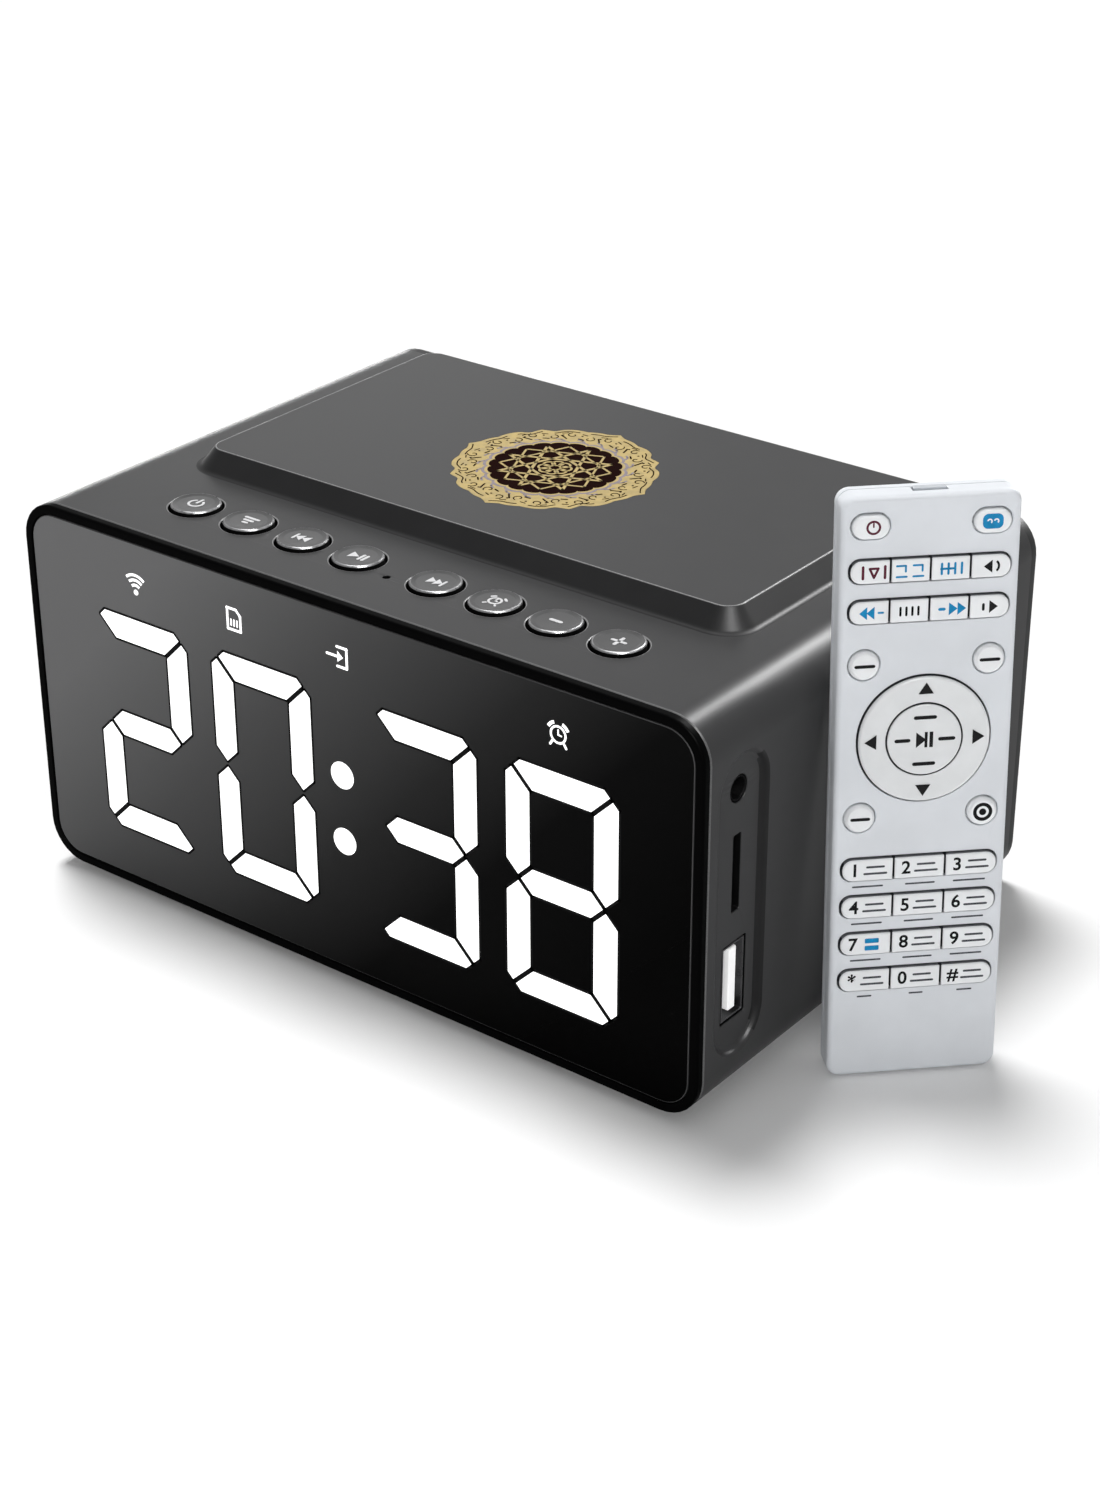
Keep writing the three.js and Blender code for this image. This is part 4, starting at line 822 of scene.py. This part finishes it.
icon_half = 1.7
icon_bar = icon_half * 0.26
icon_levels = (68.7, 68.86)
icon_triangles = {
    "previous": ((0.8, -0.05, 0.6), (0, -0.8, 0.6)),
    "play": ((-0.9, 0.1, 0.62),),
    "next": ((-0.8, 0.05, 0.6), (0, 0.8, 0.6)),
}
icon_lines = {
    "power": ((1, (0, 0.1), (0, 1)),),
    "mode": (
        (1.3, (-0.8, 0.55), (0.8, 0.55)),
        (1.3, (-0.5, 0), (0.5, 0)),
        (1.3, (-0.22, -0.55), (0.22, -0.55)),
    ),
    "previous": ((1, (-0.88, -0.5), (-0.88, 0.5)),),
    "play": ((1.2, (0.4, -0.5), (0.4, 0.5)), (1.2, (0.85, -0.5), (0.85, 0.5))),
    "next": ((1, (0.88, -0.5), (0.88, 0.5)),),
    "alarm": (
        (0.7, (0, 0.4), (0, 0), (0.25, -0.05)),
        (1, (-0.55, 0.85), (-0.85, 0.6)),
        (0.8, (-0.5, -0.7), (-0.7, -0.9)),
        (1, (0.55, 0.85), (0.85, 0.6)),
        (0.8, (0.5, -0.7), (0.7, -0.9)),
    ),
    "volume_down": ((1.5, (-0.55, 0), (0.55, 0)),),
    "volume_up": ((1.3, (-0.7, 0), (0.7, 0)), (1.3, (0, -0.7), (0, 0.7))),
}


def draw_icon(shape, name, x):
    """Draws the generic sign of the key at x. The tables give it in shares of its half width."""

    def placed(points):
        return [(x + u * icon_half, key_y + v * icon_half) for u, v in points]

    if name == "power":
        shape.arc(x, key_y, icon_half * 0.86, icon_half * 0.62, 120, 420)
    elif name == "alarm":
        shape.ring(x, key_y, icon_half * 0.72, icon_half * 0.5)
    for left, right, half in icon_triangles.get(name, ()):
        shape.prism(placed([(left, -half), (right, 0), (left, half)]))
    for width, *points in icon_lines[name]:
        shape.line(placed(points), icon_bar * width)


def make_keys():
    face = [(0, 68.76), (3.2, 68.82), (3.92, 68.97)]
    bevel = [face[-1], (4.12, 68.9), (4.28, 68.7)]
    skirt = [bevel[-1], (4.3, 68.6), (4.3, 65.95), (5.1, 65.95), (5.1, 65.45)]
    skirt += [(1.3, 65.45), (1.3, 64.45), (0, 64.45)]
    for name, x in zip(icon_lines, key_xs):
        node = "key_" + name
        cap = Shape()
        for look, profile in enumerate((softened(face, [0.8], 4), bevel, skirt)):
            cap.turned(x, key_y, profile, 64, look)
        cap.piece(node + "_cap", node, ["key", "key_bevel_painted_highlight", "key_side"], "key", replaces=True, crease=28)
        icon = Shape(on_top, icon_levels)
        draw_icon(icon, name, x)
        icon.piece(node + "_icon", node, "icon", "key")


make_keys()

# The emblem: a gold scalloped field with small arabesque strokes, and a dark lobed medallion that holds a
# plain geometric star

lobes = 22
lobe_depth = 0.65
lobe_steps = 16


def lobed(radius):
    points = []
    for step in range(lobes * lobe_steps):
        angle = 2 * pi * step / (lobes * lobe_steps)
        rise = lobe_depth * sqrt(abs(sin(angle * lobes / 2)))
        points.append(spoke(angle, radius - lobe_depth + rise))
    return points


def make_emblem():
    bottom = pad_top - emblem_depth
    field = Shape(on_top, (bottom, pad_top))
    field.prism(emblem_outline())
    field.piece("emblem_field", "pad_emblem", "gold", "gold", replaces=True)
    for name, look, radius, rise in (
        ("band", "lilac", 12.45, 0.02),
        ("rim", "gold", 11.9, 0.04),
        ("disc", "brown", 11.4, 0.06),
    ):
        layer = Shape(on_top, (bottom, pad_top + rise))
        layer.prism(lobed(radius))
        for i in range(lobes if name == "band" else 0):
            angle = 2 * pi * (i + 0.5) / lobes
            leaf = [spoke(angle - 0.05, 12.5), spoke(angle, 13.1), spoke(angle + 0.06, 13.25)]
            layer.line(leaf, 0.4, (pad_top - 0.1, pad_top + rise))
        layer.piece("emblem_" + name, "pad_emblem", look, "gold")

    # The star: two eight-pointed stars about a small rosette
    star = Shape(on_top, (pad_top, pad_top + 0.09))
    for hop, width, turn in ((3, 0.55, 0.0), (2, 0.4, pi / 8)):
        for i in range(8):
            star.line([spoke(turn + pi * k / 4, 9.7) for k in (i, i + hop)], width)
    for i in range(8):
        star.ring(*spoke(pi * (i + 0.5) / 4, 1.9), 1.15, 0.75)
    star.piece("emblem_star", "pad_emblem", "gold", "gold")

    # Dark strokes: a line along the scallops, and curls, leaves and dots between it and the medallion
    strokes = Shape(on_top, (pad_top - 0.1, pad_top + 0.03))
    edge = emblem_outline(-0.95, 192)
    for i in range(0, len(edge), 12):
        strokes.line(edge[i:i + 9], 0.22)
    for i in range(28):
        angle = 2 * pi * i / 28
        turn = 1 if i % 2 else -1
        middle = spoke(angle, 14.75 + turn * 0.55)
        curl = [
            polar(*middle, 1.0 - 0.65 * step / 10, angle + turn * (0.3 + 5.0 * step / 10))
            for step in range(11)
        ]
        leaf = [spoke(angle + 0.06 + 0.035 * step, 13.5 + 0.3 * step * (turn + 1.4)) for step in range(3)]
        tail = [spoke(angle + 0.12 - 0.03 * step, 15.9 + 0.15 * step * turn) for step in range(3)]
        for points, width in ((curl, 0.2), (leaf, 0.3), (tail, 0.2)):
            strokes.line(points, width)
        strokes.disc(*spoke(angle + 0.11, 15.1), 0.2, 10)
    strokes.piece("emblem_strokes", "pad_emblem", "brown", "gold")


make_emblem()

# The remote control: two shells, key rows, round keys, ring, OK key, lid and printed marks

remote_width = 27
remote_length = 95.5
remote_bend = 2.1
remote_thickness = 6
seam_front = 3.4
seam_back = 3.6
remote_wall = 1
key_face = -0.6
ink_levels = (-0.62, -0.55)
ring_z = 56.9
round_keys = {
    "remote_upper_left_key": (-9.5, 69.2),
    "remote_upper_right_key": (9.5, 69.2),
    "remote_lower_left_key": (-9.5, 44.4),
    "remote_lower_right_key": (9.5, 44.4),
}
top_keys = {"remote_power_key": (-9.1, 90.8), "remote_source_key": (9.1, 90.8)}
rows = ((83.9, 4), (77.6, 4), (35.8, 3), (29.5, 3), (23.2, 3), (16.9, 3))
row_half = 12
row_key_half = 1.75
groove_half = 0.15
row_opening = (24.5, 4, 1.75)
top_opening = (6.1, 4.2, 2.1)
top_key = (5.6, 3.7, 1.85)
round_opening = 2.55
ring_opening = 10.35
lid_z = 8.05
lid_opening = (12.1, 12.1, 0.5)
lid_form = (11.6, 11.6, 0.4)


def remote_outline(grow):
    return rounded(0, remote_length / 2, remote_width, remote_length, remote_bend, grow)


def key_openings(grow):
    outlines = [rounded(0, z, *row_opening, grow, 6) for z, count in rows]
    outlines += [rounded(x, z, *top_opening, grow) for x, z in top_keys.values()]
    outlines += [circle(x, z, round_opening + grow) for x, z in round_keys.values()]
    return [*outlines, circle(0, ring_z, ring_opening + grow, 96)]


def make_remote_front():
    shape = Shape()
    flank = 5
    top_flat = (17,)
    profile = [(-remote_wall, seam_front), (0, seam_front), (0, 0), (-4, 0)]
    outside = stack(on_front, remote_outline, softened(profile, [0.12, 0.88], 4)[:-1])
    shape.loft(outside[:flank + 1])
    shape.strip(outside[flank], outside[flank + 1], top_flat)
    shape.loft(outside[flank + 1:])
    inner = [on_front(remote_outline(-remote_wall), level) for level in (seam_front, remote_wall)]
    shape.strip(inner[0], inner[1], top_flat)
    path = softened([(2, 0), (0, 0), (0, remote_wall)], [0.18])[1:]
    rims = stacks(on_front, key_openings, path)
    for rim in rims:
        shape.loft(rim)
    shape.fill(outside[-1], [rim[0] for rim in rims])
    shape.fill(inner[1], [rim[-1] for rim in rims])

    # The top end with the infrared window's hole
    half = remote_width / 2 - remote_bend
    hole = rectangle(-2.7, 2.7, 1.3, 3.1)
    outer_ys = (outside[flank + 1][0][1], outside[flank][0][1])
    levels = (remote_length, remote_length - remote_wall)
    for ys, level in zip((outer_ys, (remote_wall, seam_front)), levels):
        shape.fill(on_top(rectangle(-half, half, *ys), level), [on_top(hole, level)])
    shape.strip(on_top(hole, levels[0]), on_top(hole, levels[1]))
    shape.piece("remote_front", "remote_front_shell", "shell", "remote_shell", replaces=True)


def make_remote_rear():
    shape = Shape()
    profile = [(-remote_wall, seam_back), (0, seam_back), (0, 5)]
    profile += [(-1, remote_thickness), (-4, remote_thickness)]
    outside = stack(on_front, remote_outline, softened(profile, [0.12, 0.7, 0.7], 4)[:-1])
    inner = [on_front(remote_outline(-remote_wall), level) for level in (seam_back, 5)]
    path = softened([(1, remote_thickness), (0, remote_thickness), (0, 5)], [0.15])[1:]
    opening = stack(on_front, lambda grow: rounded(0, lid_z, *lid_opening, grow, 4), path)
    for loops in (outside, inner, opening):
        shape.loft(loops)
    shape.fill(outside[-1], [opening[0]])
    shape.fill(inner[1], [opening[-1]])
    shape.piece("remote_back", "remote_rear_shell", "shell", "remote_shell", replaces=True)
    lid = Shape(on_front, (5.9, remote_thickness))
    edge = softened([(-3, 5.1), (0, 5.1), (0, remote_thickness), (-3, remote_thickness)], [0.1, 0.15])[1:-1]
    lid.stepped(lambda grow: rounded(0, lid_z, *lid_form, grow, 4), edge)
    for z in (10.4, 11.3, 12.2):
        lid.prism(rounded(0, z, 6, 0.35, 0.17, 0, 4))
    lid.piece("remote_lid", "remote_battery_cover", "shell", "remote_shell", replaces=True)


def make_remote_keys():
    shape = Shape(on_front, (2.4, 3.0))
    shape.prism(rectangle(-12.35, 12.35, 14.5, 93.05))
    edge = softened([(0, 2.4), (0, key_face), (-1, key_face)], [0.3])[:-1]
    for z, count in rows:
        pitch = 2 * row_half / count
        for i in range(count):
            left = -row_half + i * pitch + (groove_half if i else 0)
            right = -row_half + (i + 1) * pitch - (groove_half if i < count - 1 else 0)
            first_bend = 1.6 if i == 0 else 0.12
            last_bend = 1.6 if i == count - 1 else 0.12
            sides = (left, right, z - row_key_half, z + row_key_half)
            radii = (last_bend, last_bend, first_bend, first_bend)
            shape.stepped(lambda grow: block_outline(*sides, radii, grow), edge)
    # The sides of the row keys get painted shade: dark, and mid grey where they run along x.
    shape.paint_shade_behind(key_face + 0.29, soft=True)
    shape.piece("remote_rows", "remote_keypad", ["button", "gap", "edge"], "remote_key", replaces=True)
    for node, (x, z) in top_keys.items():
        cap = Shape(on_front)
        profile = [(0.4, 1.75), (0.4, 1.25), (0, 1.25), (0, key_face), (-1.5, key_face)]
        path = softened(profile, [0, 0, 0.5], 5)[:-1]
        cap.stepped(lambda grow: rounded(x, z, *top_key, grow), path)
        cap.piece(node + "_cap", node, "button", "remote_key", replaces=True)
    for node, (x, z) in round_keys.items():
        cap = Shape(on_front)
        face = [(0, key_face + 0.03), (1.9, key_face), (2.3, key_face + 0.5)]
        skirt = [(2.3, 1.25), (2.7, 1.25), (2.7, 1.75), (0, 1.75)]
        cap.turned(x, z, softened(face + skirt, [0.25, 0.4, 0, 0, 0]))
        cap.piece(node + "_cap", node, "button", "remote_key", replaces=True)
    ring = Shape(on_front)
    profile = [(5.95, 1.0), (5.95, key_face + 0.2), (10.1, key_face)]
    profile += [(10.1, 1.65), (10.5, 1.65), (10.5, 1.85), (5.95, 1.85)]
    ring.turned(0, ring_z, ringed(profile, [0, 0.15, 0.45, 0, 0, 0, 0], 4), 96)
    # The ring's sides get painted shade.
    ring.paint_shade_behind(key_face + 0.34)
    ring.piece("remote_ring", "remote_direction_ring", ["ring", "gap"], "remote_key", replaces=True)
    ok_key = Shape(on_front)
    profile = [(0, key_face), (5.7, key_face), (5.7, 1.75), (0, 1.75)]
    ok_key.turned(0, ring_z, softened(profile, [0.25, 0]), 96)
    # The OK key's side gets painted shade.
    ok_key.paint_shade_behind(key_face + 0.24)
    ok_key.piece("remote_ok", "remote_ok_key", ["ring", "gap"], "remote_key", replaces=True)


make_remote_front()
make_remote_rear()
make_remote_keys()

# The remote's prints: plain numbers, small bars beside them and under the keys, and generic signs

number_signs = "123456789*0#"
sign_names = {"*": "star", "#": "hash"}
number_size = 2.95
arrow_half = 1


def print_sign(sign, x, z, name):
    """A plain number, star or hash sign in the built-in font, as a thin mesh on the remote's keys."""
    curve = bpy.data.curves.new(name, "FONT")
    curve.body = sign
    curve.size = number_size
    curve.align_x = "CENTER"
    curve.align_y = "CENTER"
    curve.extrude = 0.02
    curve.offset = 0.06
    text = add_object(name + "_curve", curve)
    bpy.context.view_layer.update()
    mesh = bpy.data.meshes.new_from_object(text.evaluated_get(bpy.context.evaluated_depsgraph_get()))
    bpy.data.objects.remove(text)
    lie = Matrix.Translation((x, ink_levels[1] - 0.05, z)) @ Matrix.Rotation(quarter_turn, 4, "X")
    mesh.transform(remote_space @ lie)
    finish_piece(mesh, name, "remote_keypad", "ink")


def make_number_prints():
    bars = Shape(on_front, ink_levels)
    for i, sign in enumerate(number_signs):
        z = rows[2 + i // 3][0]
        left = -row_half + (i % 3) * 8
        print_sign(sign, left + 1.9, z, "remote_number_" + sign_names.get(sign, sign))
        if sign != "7":
            middle = left + (5.1 if i % 3 == 0 else 5.0)
            bars.level_bar(middle, z + 0.55, 1.3, 0.34)
            bars.level_bar(middle, z - 0.55, 1.7, 0.34)
    bars.piece("remote_key_bars", "remote_keypad", "grey", "remote_key")
    under = Shape(on_front, (-0.02, 0.1))
    for z, count in rows[2:]:
        share = 1 if z > 20 else 0.45
        for x, half in ((-7.9, 2.3), (0.3, 2.2), (8, 2.4)):
            under.level_bar(x, z - 2.95, half * share, 0.28)
    under.piece("remote_shell_bars", "remote_front_shell", "grey", "remote_shell")


def arrow(shape, tip, z, length):
    """A triangle that points to the left, or with a length below 0 to the right."""
    half = copysign(arrow_half, length)
    shape.prism([(tip, z), (tip + length, z - half), (tip + length, z + half)])


def make_row_signs():
    first, second = rows[0][0], rows[1][0]
    maroon = Shape(on_front, ink_levels)
    for x in (-10.2, -6.9):
        maroon.upright_bar(x, first, 0.9, 0.4)
    maroon.line([(-9.2, first + 0.6), (-7.9, first + 0.6), (-8.55, first - 0.8)], 0.36, closed=True)
    maroon.piece("remote_sign_maroon", "remote_keypad", "maroon", "remote_key")
    blue = Shape(on_front, ink_levels)
    for x in (-4.4, -1.9):
        blue.line([(x - 0.75, first + 0.8), (x + 0.6, first + 0.8), (x + 0.6, first - 0.1)], 0.3)
        blue.level_bar(x, first - 0.9, 0.75, 0.3)
    for x in (1.6, 2.6, 3.6, 4.6):
        blue.upright_bar(x, first, 0.8, 0.34)
    blue.level_bar(2.45, first, 0.95, 0.34)
    for tip in (-10.6, -9.5):
        arrow(blue, tip, second, 1.2)
    blue.level_bar(-7.35, second, 0.35, 0.3)
    blue.level_bar(1.85, second, 0.35, 0.45)
    for tip in (4.2, 5.5):
        arrow(blue, tip, second, -1.3)
    for offset in (0.62, -0.62):
        blue.prism(rounded(-7.1, rows[4][0] + offset, 2.2, 0.8, 0.15, 0, 3))
    blue.piece("remote_sign_blue", "remote_keypad", "blue", "remote_key")
    black = Shape(on_front, ink_levels)
    arrow(black, 7.9, first, 1.3)
    black.arc(9.2, first, 1.15, 0.8, -50, 50, 8)
    for x in (-4.4, -3.5, -2.6, -1.7):
        black.upright_bar(x, second, 0.6, 0.34)
    arrow(black, 10.3, second, -1.3)
    black.upright_bar(8.1, second, 0.4, 0.4)
    black.piece("remote_sign_black", "remote_keypad", "ink", "remote_key")


def make_key_signs():
    power = Shape(on_front, ink_levels)
    x, z = top_keys["remote_power_key"]
    power.ring(x + 0.3, z, 1.1, 0.76)
    power.line([(x + 0.3, z + 0.1), (x + 0.3, z + 0.65)], 0.24)
    power.piece("remote_power_sign", "remote_power_key", "maroon", "remote_key")
    source = Shape(on_front, ink_levels)
    x, z = top_keys["remote_source_key"]
    source.prism(rounded(x - 0.1, z + 0.05, 3.1, 2.3, 0.85))
    source.piece("remote_source_sign", "remote_source_key", "blue", "remote_key")
    bends = Shape(on_front, (ink_levels[0] - 0.025, ink_levels[1]))
    for turn in (-1, 1):
        start = 130 - turn * 180
        bends.arc(x - 0.1 + turn * 0.5, z + 0.05, 0.42, 0.2, start, start + 220, 10)
    bends.piece("remote_source_arrows", "remote_source_key", "button", "remote_key")
    for node, (x, z) in round_keys.items():
        sign = Shape(on_front, ink_levels)
        if node == "remote_lower_right_key":
            sign.ring(x, z, 1.5, 0.95)
            sign.disc(x, z, 0.55, 24)
        else:
            sign.level_bar(x, z, 1.35 if "upper" in node else 1.3, 0.5)
        sign.piece(node + "_sign", node, "ink", "remote_key")
    arrows = Shape(on_front, (ink_levels[0], -0.4))
    for step_u, step_v in ((1, 0), (0, 1), (-1, 0), (0, -1)):
        arrows.prism([
            (along * step_u - across * step_v, ring_z + along * step_v + across * step_u)
            for along, across in ((9.2, 0), (7.4, 1.15), (7.4, -1.15))
        ])
    arrows.piece("remote_ring_arrows", "remote_direction_ring", "ink", "remote_key")
    play = Shape(on_front, ink_levels)
    play.prism([(-1.3, ring_z - 1.25), (0.25, ring_z), (-1.3, ring_z + 1.25)])
    for left, right in ((0.0, 0.45), (0.75, 1.3)):
        play.prism(rectangle(left, right, ring_z - 1.25, ring_z + 1.25))
    for u, v, half in ((0, 3.6, 1.5), (0, -3.9, 1.5), (-3.4, 0, 0.95), (3.4, 0, 1.05)):
        play.level_bar(u, ring_z + v, half, 0.58)
    play.piece("remote_ok_sign", "remote_ok_key", "ink", "remote_key")


make_number_prints()
make_row_signs()
make_key_signs()

# The solids that keep their CAD form get fine bevels and a finish of their own

looks_by_start = {
    "inner": ("display_mask", "microphone", "audio_socket", "card_socket", "power_inlet", "left_driver",
              "right_driver"),
    "board": ("display_board", "key_board", "main_board", "remote_board"),
    "copper": ("charging_coil",),
    "ferrite": ("coil_shield",),
    "socket": ("usb_socket",),
    "cell": ("battery_cell",),
    "cabinet": ("rear_cover",),
    "steel": ("remote_coin_cell",),
    "window": ("remote_infrared_window",),
    "screw": ("screw",),
    "rubber": ("foot",),
}
looks_by_end = {"cone": "cone", "magnet": "ferrite", "light_guide": "guide"}
bevel_widths = {"rear_cover": 0.25, "usb_socket": 0.08, "power_inlet": 0.15}
fine_bevel = 0.12


def look_of_node(name):
    for end, look in looks_by_end.items():
        if name.endswith(end):
            return looks[look]
    return next(looks[look] for look, starts in looks_by_start.items() if name.startswith(starts))


def dress_nodes():
    for name, node in frame["nodes"].items():
        if node.hide_render:
            continue
        node.data.materials.clear()
        node.data.materials.append(look_of_node(name))
        node.modifiers.new("weld", "WELD").merge_threshold = 0.001 * millimetre
        bevel = node.modifiers.new("bevel", "BEVEL")
        bevel.width = bevel_widths.get(name, fine_bevel) * millimetre
        bevel.segments = 2
        bevel.limit_method = "ANGLE"
        bevel.angle_limit = radians(35)
        bevel.use_clamp_overlap = True
        node.modifiers.new("normals", "WEIGHTED_NORMAL").keep_sharp = True


dress_nodes()

# Floor, world and lamps

floor_glow = 0.05
floor_tone = 0.92
floor_size = 8
world_light = 0.3
lamp_target = (0, 0, 0.04)
sun_angle = radians(18)


def light_paths(tree):
    """1 for what the camera, a glossy surface or a transparent one sees, else 0."""
    paths = add_node(tree, "LightPath", {}).outputs
    seen = combine(tree, "MAXIMUM", paths["Is Camera Ray"], paths["Is Glossy Ray"])
    return combine(tree, "MAXIMUM", seen, paths["Is Transmission Ray"])


def make_floor():
    mesh = bpy.data.meshes.new("floor")
    half = floor_size / 2
    corners = [(-half, -half, 0), (half, -half, 0), (half, half, 0), (-half, half, 0)]
    mesh.from_pydata(corners, [], [(0, 1, 2, 3)])
    floor = add_object("floor", mesh)
    material = bpy.data.materials.new("floor_white")
    material.use_nodes = True
    tree = material.node_tree
    set_inputs(tree, tree.nodes["Principled BSDF"], {
        "Base Color": (floor_tone, floor_tone, floor_tone, 1),
        "Roughness": 0.9,
        "Specular IOR Level": 0.0,
        "Emission Color": white,
        "Emission Strength": combine(tree, "MULTIPLY", light_paths(tree), floor_glow),
    })
    mesh.materials.append(material)


def make_world():
    world = bpy.data.worlds.new("studio")
    scene.world = world
    world.use_nodes = True
    tree = world.node_tree
    strength = remap(tree, light_paths(tree), world_light, 1, 0, 1)
    set_inputs(tree, tree.nodes["Background"], {"Color": white, "Strength": strength})


def make_lamp(name, place, energy, size=None, target=lamp_target):
    """A sun, or with a size a rectangular lamp. It looks at the target."""
    data = bpy.data.lights.new(name, "AREA" if size else "SUN")
    data.energy = energy
    if size:
        data.shape = "RECTANGLE"
        data.size, data.size_y = size
    lamp = add_object(name, data)
    lamp.location = place
    lamp.rotation_euler = (Vector(target) - Vector(place)).to_track_quat("-Z", "Y").to_euler()
    return lamp


make_floor()
make_world()
make_lamp("key_sun", (-0.3, 0.15, 1.0), 2.55, target=(0, 0, 0)).data.angle = sun_angle
make_lamp("fill_lamp", (0.55, -0.7, 0.2), 2.0, (0.5, 0.3))
for glint in (
    ("left_glint", (-0.68, 0.68, 0.44), 0.4, (0.3, 0.3)),
    ("left_edge_glint", (-0.8, 0.7, 0.035), 2.5, (0.7, 0.06)),
    ("right_glint", (0.09, 0.66, 0.55), 25, (0.14, 0.5)),
    ("corner_glint", (0.42, -0.285, 0.6), 21, (0.24, 0.24)),
):
    make_lamp(*glint).visible_diffuse = False

scene.view_settings.view_transform = "Standard"
